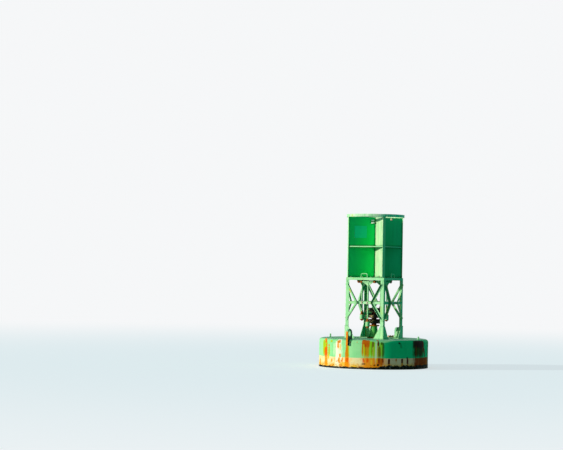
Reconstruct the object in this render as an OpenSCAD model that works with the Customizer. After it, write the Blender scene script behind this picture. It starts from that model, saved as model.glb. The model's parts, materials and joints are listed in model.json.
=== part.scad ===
// Gong buoy for open water: steel hull, square angle-iron tower, three gongs with
// swinging tappers, and an open radar reflector with a round hoop on top.
// Millimetres. Origin at the centre of the hull on the waterline, +Z up.
// Front is -Y, right is +X, back is +Y, left is -X.

/* [Hull] */
// Outer diameter of the hull
hull_diameter = 2743; // [2600:10:2800]
// Height of the deck above the waterline
deck_height = 717; // [660:5:760]
// Radius of the rounded edge between side and deck
shoulder_radius = 75; // [30:5:100]
// Depth below the waterline where the straight side ends
side_depth = 350; // [250:10:450]
// Radius of the rounded edge between side and cone
chine_radius = 60; // [30:5:90]
// Depth below the waterline where the bottom cone ends
cone_depth = 750; // [650:10:850]
// Diameter of the flat at the bottom of the cone
cone_flat_diameter = 640; // [620:10:760]

/* [Tail] */
// Outer diameter of the tail tube
tail_diameter = 610; // [500:5:620]
// Depth below the waterline where the tail tube ends
tail_depth = 1850; // [1500:10:1900]
// Diameter of the cast counterweight discs
weight_diameter = 762; // [640:5:800]
// Thickness of one counterweight disc
weight_thickness = 122; // [80:1:125]
// Number of counterweight discs
weight_count = 3; // [2:1:3]
// Chamfer on the edges of a counterweight disc
weight_chamfer = 12; // [4:1:20]
// Diameter of the retaining plate under the discs
retainer_diameter = 260; // [200:5:360]
// Thickness of the retaining plate
retainer_thickness = 20; // [10:1:30]
// Width across flats of the retaining nut
retainer_nut_width = 90; // [60:2:110]
// Height of the retaining nut
retainer_nut_height = 24; // [16:1:40]

/* [Lifting eyes] */
// Thickness of the lifting eye plate
eye_thickness = 50; // [30:1:60]
// Radial width of the lifting eye on deck, from its inner edge to the hull side
eye_width = 171; // [165:1:200]
// Height of the lifting eye above the deck
eye_rise = 258; // [230:2:320]
// Thickness of the outer leg that runs down the hull side
eye_leg = 64; // [50:1:80]
// Length of the outer leg below the deck
eye_leg_drop = 147; // [90:1:200]
// Width of the hole in the lifting eye
eye_hole_width = 120; // [90:2:124]
// Height of the hole in the lifting eye
eye_hole_height = 146; // [126:2:160]
// Height of the middle of the hole above the deck
eye_hole_rise = 150; // [120:1:156]
// Distance from the hull side to the middle of the hole
eye_hole_inset = 36; // [20:1:60]
// Radius of the rounded top corners of the lifting eye
eye_corner = 105; // [40:1:106]

/* [Mooring eyes] */
// Thickness of the mooring eye plate
mooring_thickness = 50; // [30:1:60]
// Bore of the mooring eye
mooring_bore = 90; // [60:2:100]
// Outer radius of the mooring eye around its bore
mooring_radius = 95; // [85:1:120]
// Distance from the hull side to the middle of the mooring bore
mooring_inset = 221.5; // [200:0.5:400]
// Depth of the mooring bore below the waterline
mooring_depth = 620; // [600:5:660]

/* [Deck fittings] */
// Diameter of the round deck cover
cover_diameter = 180; // [120:5:200]
// Height of the round deck cover
cover_height = 38; // [20:1:60]
// Gap between the deck cover and the back lifting eye
cover_gap = 22; // [15:1:80]
// Direction of the deck cover, from +X towards +Y
cover_angle = 92.8; // [88:0.1:110]
// Diameter of a deck plug
plug_diameter = 43; // [30:1:60]
// Height of a deck plug
plug_height = 63; // [40:1:90]
// Distance from the rounded edge of the deck to the middle of a deck plug
plug_inset = 46.5; // [35:0.5:120]

/* [Tower] */
// Outer width of the tower frame
tower_width = 1067; // [1040:1:1100]
// Height of the top of the tower frame
frame_top = 2245; // [2200:5:2300]
// Flange width of the tower frame and the middle bars
frame_flange = 64; // [50:1:75]
// Thickness of the tower frame, the middle bars and the knees
frame_thickness = 6.4; // [5:0.1:8]
// Flange width of the legs
leg_flange = 89; // [76:1:102]
// Thickness of the legs
leg_thickness = 9.5; // [6:0.5:12.5]
// How far the base pad runs in past the foot gussets
pad_run = 15; // [5:1:40]
// Thickness of the base pad
pad_thickness = 12; // [8:1:20]
// How far the base pad reaches out past the leg
pad_reach = 30; // [10:1:50]
// Width of a foot gusset at the pad, from the heel of the leg
gusset_width = 250; // [180:5:300]
// Height of a foot gusset above the pad
gusset_height = 300; // [200:5:400]
// Height of the lower vertical edge of a foot gusset
gusset_lip = 20; // [10:1:60]
// Thickness of a foot gusset, which laps outside the leg
gusset_thickness = 12; // [8:0.5:14]
// Height of the middle line of the middle bars
bar_height = 1615; // [1580:5:1650]

/* [Knees] */
// Flange width of the knees
knee_flange = 64; // [40:1:70]
// Width of the outward flange of the knees
knee_outstand = 51; // [38:1:64]
// Distance from the middle of a face to the tip of a knee
knee_tip = 184; // [150:2:220]
// Rise of an upper knee from its tip to the edge of the leg
knee_rise = 445; // [360:5:480]
// Drop of a lower knee from its tip to the edge of the leg
knee_drop = 377; // [320:5:400]
// How far a knee laps on the leg
knee_lap = 60; // [30:1:70]
// How far the outward flange of a knee runs past the edge of the leg
knee_cope = 15; // [5:1:25]
// Half of the slot between an upper and a lower knee
knee_slot = 2; // [1:0.5:5]

/* [Stops] */
// Length of a tapper stop
stop_length = 200; // [120:5:240]
// Height of a tapper stop
stop_height = 45; // [30:1:50]
// Distance from the tower axis to the face of a tapper stop
stop_offset = 458; // [440:1:460]

/* [Radar reflector] */
// Distance from the edge of the tower frame to the edge of the reflector floor
floor_inset = 22.5; // [20:0.5:30]
// Width of a corner post, set square to its diagonal
post_width = 70; // [50:1:74]
// Thickness of a corner post
post_thickness = 9.5; // [6:0.5:12.5]
// Distance from the corner of the tower frame to the outer face of a corner post
post_inset = 35.6; // [30:0.1:50]
// Thickness of the reflector plates
plate_thickness = 5; // [4:0.5:8]
// Height of the top of the reflector plates
plate_top = 3765; // [3700:5:3765]
// Height of the middle shelf
shelf_height = 3035; // [2950:5:3100]
// Depth of the lip along the outer edge of the middle shelf
shelf_lip = 25; // [15:1:40]
// Height of the top of the round hoop
hoop_top = 3835; // [3830:5:3860]
// Height of the hoop band
hoop_band = 70; // [40:1:70]
// Thickness of the hoop band
hoop_thickness = 8; // [5:0.5:12]
// Width and height of the blank square panel on the reflector
panel_size = [322, 304]; // [200:1:400]
// Distance from the reflector axis to the middle of the panel
panel_offset = 391.5; // [300:0.5:430]
// Height of the middle of the panel
panel_height = 3394; // [3240:1:3450]
// Thickness of the panel
panel_thickness = 2; // [1:0.5:4]

/* [Handles] */
// Diameter of the handle rod
handle_rod = 22; // [16:1:22]
// Outer width of a handle
handle_width = 194; // [140:2:240]
// Height of a handle above the tower frame
handle_height = 108; // [80:1:140]
// Radius of the bends in a handle, at the middle of the rod
handle_bend = 34; // [20:1:50]
// Distance of a handle from the middle of its face
handle_shift = 22; // [0:1:60]

/* [Gongs] */
// Diameters of the gongs, from the lowest to the highest
gong_diameters = [490, 476, 460]; // [420:2:500]
// Height of the rim of the lowest gong
gong_rim = 1093; // [1080:1:1098]
// Spacing from one gong rim to the next
gong_pitch = 141; // [136:0.5:144]
// Height of a gong from its rim to its crown
gong_rise = 108; // [100:1:112]
// Wall thickness of a gong
gong_wall = 12; // [8:0.5:14]
// Extra thickness of the lip at the rim of a gong
gong_lip = 5; // [2:0.5:8]
// Height of the lip at the rim of a gong
gong_lip_height = 20; // [14:1:22]
// Radius of the rounded shoulder of a gong, outside
gong_shoulder = 78; // [50:1:86]
// Diameter of the spindle that holds the gongs
spindle_diameter = 50; // [40:1:60]
// Outer diameter of the spacers between the gongs
spacer_diameter = 130; // [110:1:150]
// Outer diameter of the washer above the highest gong
washer_diameter = 110; // [90:1:130]
// Thickness of the washer above the highest gong
washer_thickness = 8; // [5:1:12]
// Width across flats of the spindle nut
spindle_nut_width = 76; // [70:1:90]
// Height of the spindle nut
spindle_nut_height = 22; // [16:1:40]
// Height of the spindle end above its nut
spindle_end = 12; // [6:1:30]

/* [Gong pedestal] */
// Height of the top of the pedestal
pedestal_top = 1055; // [1040:1:1065]
// Diameter of the pedestal at the deck
pedestal_base_diameter = 230; // [200:5:280]
// Diameter of the pedestal at its top
pedestal_top_diameter = 160; // [140:5:200]
// Diameter of the pedestal base flange
pedestal_flange_diameter = 340; // [300:5:400]
// Thickness of the pedestal base flange
pedestal_plate = 16; // [10:1:20]
// Diameter of the round head plate of the pedestal
pedestal_head_diameter = 270; // [230:5:300]
// Thickness of the round head plate of the pedestal
pedestal_head_thickness = 32; // [16:1:40]
// Number of fins around the pedestal
pedestal_fins = 6; // [4:1:8]
// Height of the pedestal fins
pedestal_fin_height = 170; // [100:5:220]
// Thickness of the pedestal fins
pedestal_fin_thickness = 10; // [6:1:14]

/* [Tappers] */
// Distance from the tower axis to the tapper pivots
pivot_offset = 350; // [340:1:360]
// Depth of the tapper pivots below the top of the tower frame
pivot_drop = 100; // [85:1:125]
// Diameter of the pivot pin
pin_diameter = 30; // [24:1:36]
// Overall length of the pivot pin
pin_length = 440; // [430:2:460]
// Thickness of a bearing lug
lug_thickness = 50; // [30:1:52]
// Width of a bearing lug at its top
lug_width = 110; // [80:2:130]
// Radius of a bearing lug around its pin
lug_radius = 38; // [30:1:42]
// Distance from the middle of the pin to the middle of a bearing lug
lug_offset = 182; // [181:1:188]
// Outer diameter of the tapper sleeve
sleeve_diameter = 60; // [50:1:70]
// Length of the tapper sleeve
sleeve_length = 300; // [240:5:300]
// Gap around the pin inside the tapper sleeve
sleeve_gap = 1; // [0.5:0.1:2]
// Depth of the tapering web below the pivot
web_depth = 106; // [80:2:200]
// Thickness of the tapering web
web_thickness = 12; // [8:1:20]
// Diameter of the tapper arm
arm_diameter = 40; // [30:1:42]
// Diameter of the tapper head
head_diameter = 110; // [90:2:120]
// Height of the tapper head
head_height = 165; // [130:5:175]
// Flat at the top and bottom of the tapper head
head_flat = 44; // [40:1:70]
// Height of the middle of each tapper head: front, right, back, left
head_heights = [1078, 1250, 1410, 1250]; // [1060:1:1440]

/* [Hidden] */
// Gap left at curved seats
seat = 0.3;
hull_radius = hull_diameter / 2;
tail_radius = tail_diameter / 2;
weight_pitch = weight_thickness + seat;
weight_bottom = tail_depth + weight_count * weight_pitch;
tower_half = tower_width / 2;
leg_edge = tower_half - leg_flange;
leg_foot = deck_height + pad_thickness;
leg_top = frame_top - frame_flange;
frame_under = frame_top - frame_thickness;
mooring_offset = hull_radius - mooring_inset;
cover_offset = hull_radius - eye_width - cover_gap - cover_diameter / 2;
plug_offset = hull_radius - shoulder_radius - plug_inset;
bar_top = bar_height + frame_flange / 2;
reflector_half = tower_half - floor_inset;
post_outer = tower_half * sqrt(2) - post_inset;
post_face = post_outer - post_thickness;
hoop_inner = sqrt((post_outer + seat) ^ 2 + (post_width / 2) ^ 2);
plate_reach = post_face - seat;
post_top = hoop_top - hoop_band / 2;
plate_base = frame_top + plate_thickness;
handle_offset = tower_half - handle_rod / 2;
pivot_height = frame_top - pivot_drop;
crown_low = gong_rim + gong_rise;
spindle_bore = spindle_diameter / 2 + seat;
gong_top = crown_low + 2 * gong_pitch;
spindle_top = gong_top + washer_thickness + spindle_nut_height + spindle_end;
$fn = 96;

module box(low, high) {
    translate(low) cube(high - low);
}

module around(angles) {
    for (a = angles) rotate([0, 0, a]) children();
}

// Upright plate whose outline is drawn in X (along the face) and Z, facing front
module upright(y, thickness) {
    translate([0, y + thickness, 0]) rotate([90, 0, 0]) linear_extrude(thickness) children();
}

// Upright plate whose outline is drawn in distance from the axis and Z, along +X
module radial(thickness) {
    translate([0, thickness / 2, 0]) rotate([90, 0, 0]) linear_extrude(thickness) children();
}

module hull() {
    slope = atan((cone_depth - side_depth) / (hull_radius - cone_flat_diameter / 2));
    chine_drop = chine_radius * tan((90 - slope) / 2);
    color([0.38, 0.82, 0.47]) rotate_extrude() union() {
        polygon([[0, -cone_depth], [cone_flat_diameter / 2, -cone_depth],
            [hull_radius - chine_drop * cos(slope), -side_depth - chine_drop * sin(slope)],
            [hull_radius - chine_radius, chine_drop - side_depth],
            [hull_radius, chine_drop - side_depth], [hull_radius, deck_height - shoulder_radius],
            [hull_radius - shoulder_radius, deck_height - shoulder_radius],
            [hull_radius - shoulder_radius, deck_height], [0, deck_height]]);
        translate([hull_radius - shoulder_radius, deck_height - shoulder_radius])
            circle(shoulder_radius);
        translate([hull_radius - chine_radius, chine_drop - side_depth]) circle(chine_radius);
    }
}

module tail_tube() {
    color([0.2, 0.16, 0.14]) translate([0, 0, -tail_depth]) cylinder(r = tail_radius,
        h = tail_depth - cone_depth);
}

module weight_disc() {
    r = weight_diameter / 2;
    c = weight_chamfer;
    rotate_extrude() polygon([[0, 0], [r - c, 0], [r, c], [r, weight_thickness - c],
        [r - c, weight_thickness], [0, weight_thickness]]);
}

module counterweight() {
    color([0.22, 0.2, 0.19]) for (i = [1 : weight_count])
        translate([0, 0, -tail_depth - i * weight_pitch]) weight_disc();
}

module weight_retainer() {
    color([0.3, 0.18, 0.12]) translate([0, 0, -weight_bottom]) {
        translate([0, 0, -retainer_thickness]) cylinder(d = retainer_diameter,
            h = retainer_thickness);
        translate([0, 0, -retainer_thickness - retainer_nut_height])
            cylinder(d = retainer_nut_width / cos(30), h = retainer_nut_height, $fn = 6);
    }
}

module lifting_eye_outline() {
    inner = hull_radius - eye_width;
    outer = hull_radius + eye_leg;
    top = deck_height + eye_rise;
    shoulder = hull_radius - shoulder_radius;
    hole_swing = (eye_hole_height - eye_hole_width) / 2;
    difference() {
        union() {
            translate([inner, deck_height]) square([outer - inner, eye_rise - eye_corner]);
            translate([inner + eye_corner, deck_height])
                square([outer - inner - 2 * eye_corner, eye_rise]);
            translate([inner + eye_corner, top - eye_corner]) circle(eye_corner);
            translate([outer - eye_corner, top - eye_corner]) circle(eye_corner);
            translate([shoulder, deck_height - eye_leg_drop])
                square([outer - shoulder, eye_leg_drop]);
        }
        translate([shoulder, deck_height - shoulder_radius]) circle(shoulder_radius + seat);
        translate([shoulder - eye_width, deck_height - shoulder_radius - eye_leg_drop])
            square([eye_width + shoulder_radius + seat, eye_leg_drop]);
        translate([inner, deck_height - shoulder_radius])
            square([shoulder - inner, shoulder_radius]);
        translate([hull_radius - eye_hole_inset, deck_height + eye_hole_rise]) {
            for (s = [-1, 1]) translate([0, s * hole_swing]) circle(d = eye_hole_width);
            translate([-eye_hole_width / 2, -hole_swing])
                square([eye_hole_width, 2 * hole_swing]);
        }
    }
}

module lifting_eye(angle) {
    color([0.5, 0.25, 0.12]) rotate([0, 0, angle]) radial(eye_thickness) lifting_eye_outline();
}

module mooring_eye(angle) {
    cone_run = hull_radius - cone_flat_diameter / 2;
    cone_fall = (cone_depth - side_depth) / cone_run;
    inner = mooring_offset - mooring_radius;
    outer = mooring_offset + mooring_radius;
    color([0.25, 0.2, 0.17]) rotate([0, 0, angle]) radial(mooring_thickness) difference() {
        union() {
            translate([mooring_offset, -mooring_depth]) circle(mooring_radius);
            polygon([[inner, -mooring_depth], [outer, -mooring_depth],
                [outer, -cone_line(outer) - seat], [inner, -cone_line(inner) - seat]]);
        }
        translate([mooring_offset, -mooring_depth]) circle(d = mooring_bore);
    }
}

// Depth of the bottom cone at a distance from the axis
function cone_line(r) = side_depth + (hull_radius - r) * (cone_depth - side_depth)
    / (hull_radius - cone_flat_diameter / 2);

module deck_cover() {
    color([0.45, 0.22, 0.12]) rotate([0, 0, cover_angle]) translate([cover_offset, 0, deck_height])
        cylinder(d = cover_diameter, h = cover_height);
}

module deck_plugs() {
    color([0.4, 0.7, 0.45]) around([0, 180])
        translate([plug_offset, 0, deck_height]) cylinder(d = plug_diameter, h = plug_height);
}

module leg_pads() {
    near = tower_half - gusset_width - pad_run;
    far = tower_half + pad_reach;
    color([0.38, 0.78, 0.45]) around([0 : 90 : 270])
        box([near, near, deck_height], [far, far, leg_foot]);
}

module legs() {
    color([0.38, 0.82, 0.47]) around([0 : 90 : 270]) {
        box([leg_edge, tower_half - leg_thickness, leg_foot], [tower_half, tower_half, leg_top]);
        box([tower_half - leg_thickness, leg_edge, leg_foot], [tower_half, tower_half, leg_top]);
    }
}

// One foot gusset, lapped outside the leg and ending at the given distance from the axis
module gusset(end) {
    foot = tower_half - gusset_width;
    top = leg_foot + gusset_height;
    upright(tower_half, gusset_thickness) polygon([[foot, leg_foot], [end, leg_foot],
        [end, top], [leg_edge, top], [foot, leg_foot + gusset_lip]]);
}

module foot_gussets() {
    color([0.38, 0.8, 0.46]) around([0 : 90 : 270]) {
        gusset(tower_half + gusset_thickness);
        mirror([1, -1, 0]) gusset(tower_half);
    }
}

module mid_bars() {
    color([0.38, 0.82, 0.47]) around([0 : 90 : 270]) {
        box([-leg_edge, -tower_half, bar_top - frame_flange],
            [leg_edge, -tower_half + frame_thickness, bar_top]);
        box([-leg_edge, -tower_half, bar_top - frame_thickness],
            [leg_edge, -tower_half + frame_flange, bar_top]);
    }
}

// Strip along the sloping edge of a knee, from the middle bar to the leg, cut square to both
module knee_strip(rise, width, lap) {
    run = leg_edge - knee_tip;
    span = run + lap;
    length = sqrt(run * run + rise * rise);
    shift_x = width * rise / length;
    shift_z = width * run / length;
    polygon([[knee_slot * run / rise, knee_slot], [span, span * rise / run],
        [span, (span - shift_x) * rise / run - shift_z],
        [shift_x + (knee_slot + shift_z) * run / rise, knee_slot]]);
}

module knee(rise) {
    upright(-tower_half - frame_thickness, frame_thickness)
        knee_strip(rise, knee_flange, knee_lap);
    upright(-tower_half - knee_outstand, knee_outstand)
        knee_strip(rise, frame_thickness, knee_cope);
}

module knees(angle) {
    color([0.38, 0.82, 0.47]) rotate([0, 0, angle]) for (s = [0, 1]) mirror([s, 0, 0])
        translate([knee_tip, 0, bar_height]) {
            knee(knee_rise);
            mirror([0, 0, 1]) knee(knee_drop);
        }
}

module tapper_stops() {
    inner = tower_half - frame_thickness;
    under = bar_top - frame_thickness;
    color([0.1, 0.1, 0.1]) around([0 : 90 : 270])
        box([-stop_length / 2, -inner, under - stop_height],
            [stop_length / 2, -stop_offset, under]);
}

module tower_frame() {
    h = tower_half;
    color([0.38, 0.82, 0.47]) difference() {
        box([-h, -h, frame_top - frame_flange], [h, h, frame_top]);
        box([-h, -h, frame_top - 2 * frame_flange] + [1, 1, 0] * frame_thickness,
            [h, h, frame_under] - [1, 1, 0] * frame_thickness);
        box([-h, -h, frame_top - 2 * frame_flange] + [1, 1, 0] * frame_flange,
            [h, h, frame_top + frame_flange] - [1, 1, 0] * frame_flange);
    }
}

module reflector_floor() {
    color([0.3, 0.75, 0.4]) translate([0, 0, frame_top]) linear_extrude(plate_thickness)
        intersection() {
            square(2 * reflector_half, center = true);
            rotate(45) square(2 * plate_reach, center = true);
        }
}

module corner_posts() {
    color([0.3, 0.78, 0.42]) around([45 : 90 : 315])
        box([post_face, -post_width / 2, frame_top], [post_outer, post_width / 2, post_top]);
}

// Reflector plate that stands on a diagonal, between two distances from the axis
module diagonal_plate(angle, from, to) {
    rotate([0, 0, angle]) box([from, -plate_thickness / 2, plate_base],
        [to, plate_thickness / 2, plate_top]);
}

module reflector_plate_long() {
    color([0.1, 0.62, 0.3]) diagonal_plate(45, -plate_reach, plate_reach);
}

module reflector_plate_front() {
    color([0.1, 0.62, 0.3]) diagonal_plate(-45, plate_thickness / 2, plate_reach);
}

module reflector_plate_back() {
    color([0.1, 0.62, 0.3]) diagonal_plate(135, plate_thickness / 2, plate_reach);
}

module reflector_shelf() {
    side = plate_thickness / 2 * sqrt(2);
    half = post_face / sqrt(2);
    lip_half = half - 2 * plate_thickness;
    color([0.15, 0.68, 0.34]) around([0 : 90 : 270]) {
        translate([0, 0, shelf_height - plate_thickness]) linear_extrude(plate_thickness)
            polygon([[0, -side], [half - side, -half], [side - half, -half]]);
        box([-lip_half, -half - plate_thickness, shelf_height - shelf_lip],
            [lip_half, -half, shelf_height]);
    }
}

module reflector_panel() {
    color([0.0, 0.55, 0.42]) rotate([0, 0, 45]) box([-panel_offset - panel_size[0] / 2,
        -plate_thickness / 2 - panel_thickness, panel_height - panel_size[1] / 2],
        [-panel_offset + panel_size[0] / 2, -plate_thickness / 2,
        panel_height + panel_size[1] / 2]);
}

module top_hoop() {
    color([0.5, 0.88, 0.58]) translate([0, 0, hoop_top - hoop_band]) difference() {
        cylinder(r = hoop_inner + hoop_thickness, h = hoop_band);
        translate([0, 0, -hoop_band]) cylinder(r = hoop_inner, h = 3 * hoop_band);
    }
}

module handles() {
    x = (handle_width - handle_rod) / 2;
    top = frame_top + handle_height - handle_rod / 2;
    bend_low = top - handle_bend;
    color([0.38, 0.82, 0.47]) around([0 : 90 : 270]) translate([-handle_shift, -handle_offset, 0])
        for (s = [0, 1]) mirror([s, 0, 0]) {
            translate([x, 0, frame_top]) cylinder(d = handle_rod, h = bend_low - frame_top);
            translate([x - handle_bend, 0, bend_low]) rotate([90, 0, 0])
                rotate_extrude(angle = 90) translate([handle_bend, 0]) circle(d = handle_rod);
            translate([0, 0, top]) rotate([0, 90, 0]) cylinder(d = handle_rod,
                h = x - handle_bend);
        }
}

module bearing_lugs() {
    color([0.22, 0.14, 0.1]) around([0 : 90 : 270]) for (s = [-1, 1])
        translate([s * lug_offset - lug_thickness / 2, -pivot_offset, pivot_height])
            rotate([90, 0, 90]) linear_extrude(lug_thickness) difference() {
                union() {
                    circle(lug_radius);
                    polygon([[-lug_radius, 0], [lug_radius, 0],
                        [lug_width / 2, frame_top - pivot_height],
                        [-lug_width / 2, frame_top - pivot_height]]);
                }
                circle(d = pin_diameter + 2 * seat);
            }
}

module pivot_pins() {
    color([0.3, 0.2, 0.16]) around([0 : 90 : 270])
        translate([-pin_length / 2, -pivot_offset, pivot_height]) rotate([0, 90, 0])
            cylinder(d = pin_diameter, h = pin_length);
}

module gong_pedestal() {
    base = pedestal_base_diameter / 2;
    fin_reach = pedestal_flange_diameter / 2 - pedestal_fin_thickness;
    color([0.32, 0.62, 0.38]) translate([0, 0, deck_height]) {
        cylinder(d = pedestal_flange_diameter, h = pedestal_plate);
        cylinder(d1 = pedestal_base_diameter, d2 = pedestal_top_diameter,
            h = pedestal_top - deck_height);
        translate([0, 0, pedestal_top - deck_height - pedestal_head_thickness])
            cylinder(d = pedestal_head_diameter, h = pedestal_head_thickness);
        around([0 : 360 / pedestal_fins : 359]) radial(pedestal_fin_thickness)
            polygon([[base / 2, pedestal_plate / 2], [fin_reach, pedestal_plate / 2],
                [fin_reach, 2 * pedestal_plate], [base / 2, pedestal_fin_height + base / 2]]);
    }
}

module gong_spindle() {
    color([0.35, 0.27, 0.2]) {
        translate([0, 0, pedestal_top]) cylinder(d = spindle_diameter,
            h = spindle_top - pedestal_top);
        translate([0, 0, gong_top]) cylinder(d = washer_diameter, h = washer_thickness);
        translate([0, 0, gong_top + washer_thickness]) cylinder(d = spindle_nut_width / cos(30),
            h = spindle_nut_height, $fn = 6);
    }
}

module spacer(low, high) {
    translate([0, 0, low]) difference() {
        cylinder(d = spacer_diameter, h = high - low);
        translate([0, 0, -high]) cylinder(r = spindle_bore, h = 3 * high);
    }
}

module gong_spacers() {
    color([0.3, 0.3, 0.28]) {
        spacer(pedestal_top, crown_low - gong_wall);
        spacer(crown_low, crown_low + gong_pitch - gong_wall);
        spacer(crown_low + gong_pitch, crown_low + 2 * gong_pitch - gong_wall);
    }
}

// Half section of a bowl with a rounded shoulder, from its rim up to its crown
module bowl(radius, shoulder, rise) {
    polygon([[0, 0], [radius, 0], [radius, rise - shoulder], [radius - shoulder, rise - shoulder],
        [radius - shoulder, rise], [0, rise]]);
    translate([radius - shoulder, rise - shoulder]) intersection() {
        circle(shoulder);
        square(shoulder);
    }
}

// Gong, open below, with a flat crown and a thicker lip
module gong(index) {
    r = gong_diameters[index] / 2;
    side = r - gong_lip;
    color([0.3, 0.26, 0.16]) translate([0, 0, gong_rim + index * gong_pitch])
        rotate_extrude() difference() {
            union() {
                bowl(side, gong_shoulder, gong_rise);
                polygon([[0, 0], [r, 0], [r, gong_lip_height - gong_lip], [side, gong_lip_height],
                    [0, gong_lip_height]]);
            }
            bowl(side - gong_wall, gong_shoulder - gong_wall, gong_rise - gong_wall);
            square([spindle_bore, gong_rise]);
        }
}

// Sleeve, tapering web and arm of one tapper, hanging straight down
module tapper_arm(index) {
    arm = arm_diameter / 2;
    sleeve = sleeve_diameter / 2;
    bottom = head_heights[index] + head_height / 2;
    color([0.34, 0.72, 0.44]) rotate([0, 0, 90 * index]) translate([0, -pivot_offset, 0])
        difference() {
            union() {
                translate([-sleeve_length / 2, 0, pivot_height]) rotate([0, 90, 0])
                    cylinder(r = sleeve, h = sleeve_length);
                upright(-web_thickness / 2, web_thickness)
                    polygon([[-sleeve_length / 2, pivot_height], [sleeve_length / 2, pivot_height],
                        [arm, pivot_height - web_depth], [-arm, pivot_height - web_depth]]);
                translate([0, 0, bottom]) cylinder(r = arm, h = pivot_height - bottom);
            }
            translate([-sleeve_length, 0, pivot_height]) rotate([0, 90, 0])
                cylinder(d = pin_diameter + 2 * sleeve_gap, h = 2 * sleeve_length);
        }
}

// Round head with domed ends and small flats
module tapper_head(index) {
    r = head_diameter / 2;
    f = head_flat / 2;
    h = head_height / 2;
    ease = r - f;
    color([0.34, 0.7, 0.43]) rotate([0, 0, 90 * index])
        translate([0, -pivot_offset, head_heights[index]]) rotate_extrude() {
            polygon([[0, -h], [f, -h], [f, ease - h], [r, ease - h], [r, h - ease],
                [f, h - ease], [f, h], [0, h]]);
            for (s = [-1, 1]) translate([f, s * (h - ease)]) intersection() {
                circle(ease);
                translate([0, -ease]) square([ease, 2 * ease]);
            }
        }
}

hull();
tail_tube();
counterweight();
weight_retainer();
lifting_eye(-90);  // lifting_eye_front
lifting_eye(90);  // lifting_eye_back
mooring_eye(180);  // mooring_eye_left
mooring_eye(0);  // mooring_eye_right
deck_cover();
deck_plugs();
leg_pads();
legs();
foot_gussets();
mid_bars();
knees(0);  // knees_front
knees(90);  // knees_right
knees(180);  // knees_back
knees(270);  // knees_left
tapper_stops();
tower_frame();
reflector_floor();
corner_posts();
reflector_plate_long();
reflector_plate_front();
reflector_plate_back();
reflector_shelf();
reflector_panel();
top_hoop();
handles();
bearing_lugs();
pivot_pins();
gong_pedestal();
gong_spindle();
gong_spacers();
gong(0);  // gong_low
gong(1);  // gong_middle
gong(2);  // gong_high
tapper_arm(0);  // tapper_arm_front
tapper_head(0);  // tapper_head_front
tapper_arm(1);  // tapper_arm_right
tapper_head(1);  // tapper_head_right
tapper_arm(2);  // tapper_arm_back
tapper_head(2);  // tapper_head_back
tapper_arm(3);  // tapper_arm_left
tapper_head(3);  // tapper_head_left
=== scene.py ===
import json
import math
import random

import bmesh
import bpy
from mathutils import Matrix, Vector, noise

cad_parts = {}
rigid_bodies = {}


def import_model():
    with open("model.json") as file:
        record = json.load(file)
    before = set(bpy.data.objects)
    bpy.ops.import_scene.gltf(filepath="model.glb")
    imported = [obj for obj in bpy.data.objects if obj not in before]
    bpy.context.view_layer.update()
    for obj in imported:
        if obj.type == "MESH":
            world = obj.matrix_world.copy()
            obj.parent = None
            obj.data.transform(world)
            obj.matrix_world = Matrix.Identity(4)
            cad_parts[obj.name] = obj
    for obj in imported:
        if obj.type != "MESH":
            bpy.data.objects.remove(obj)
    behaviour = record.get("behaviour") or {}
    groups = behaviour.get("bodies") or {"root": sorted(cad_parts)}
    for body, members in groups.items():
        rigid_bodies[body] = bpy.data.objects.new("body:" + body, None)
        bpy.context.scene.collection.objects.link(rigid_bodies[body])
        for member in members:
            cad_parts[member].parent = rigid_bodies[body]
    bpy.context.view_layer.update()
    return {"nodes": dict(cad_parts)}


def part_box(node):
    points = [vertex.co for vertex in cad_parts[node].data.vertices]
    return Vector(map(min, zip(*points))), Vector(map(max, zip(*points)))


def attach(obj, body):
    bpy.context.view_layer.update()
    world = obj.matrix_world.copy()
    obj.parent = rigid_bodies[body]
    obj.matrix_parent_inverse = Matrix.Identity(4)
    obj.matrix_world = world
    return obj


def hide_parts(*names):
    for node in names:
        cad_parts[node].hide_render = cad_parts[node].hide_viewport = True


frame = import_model()
nodes = frame["nodes"]
scene = bpy.context.scene
print("frame loaded:", len(nodes), "nodes")

# Places read from the frame, in metres
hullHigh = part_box("hull")[1]
hullRadius = hullHigh.x
deckHeight = hullHigh.z
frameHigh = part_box("tower_frame")[1]
towerHalf = frameHigh.x
frameTop = frameHigh.z
barLow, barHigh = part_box("mid_bars")
barMiddle = (barLow.z + barHigh.z) / 2
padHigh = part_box("leg_pads")[1]
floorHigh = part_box("reflector_floor")[1]
hoopLow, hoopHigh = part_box("top_hoop")
hoopThickness = 0.008
postThickness = 0.0095
postFace = hoopHigh.x - hoopThickness - postThickness - 0.001  # the corner posts' inner face
seamHeight = 0.63  # of the welded seam round the hull side

# Where the key light stands, in degrees from the right towards the back
sunAzimuth = 226

camera = {
    "azimuth": 27.4,  # degrees round from the front
    "distance": 44.8,
    "height": 2.28,
    "yaw": 3.04270113,
    "pitch": 1.60742633,
    "roll": 0.99893624,
    "focalPixels": 1770,
    "imageWidth": 563,
    "sensor": 36,
}


def clearDefaults():
    for other in list(bpy.data.objects):
        if other.name in ("Cube", "Light", "Camera"):
            bpy.data.objects.remove(other)


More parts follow.
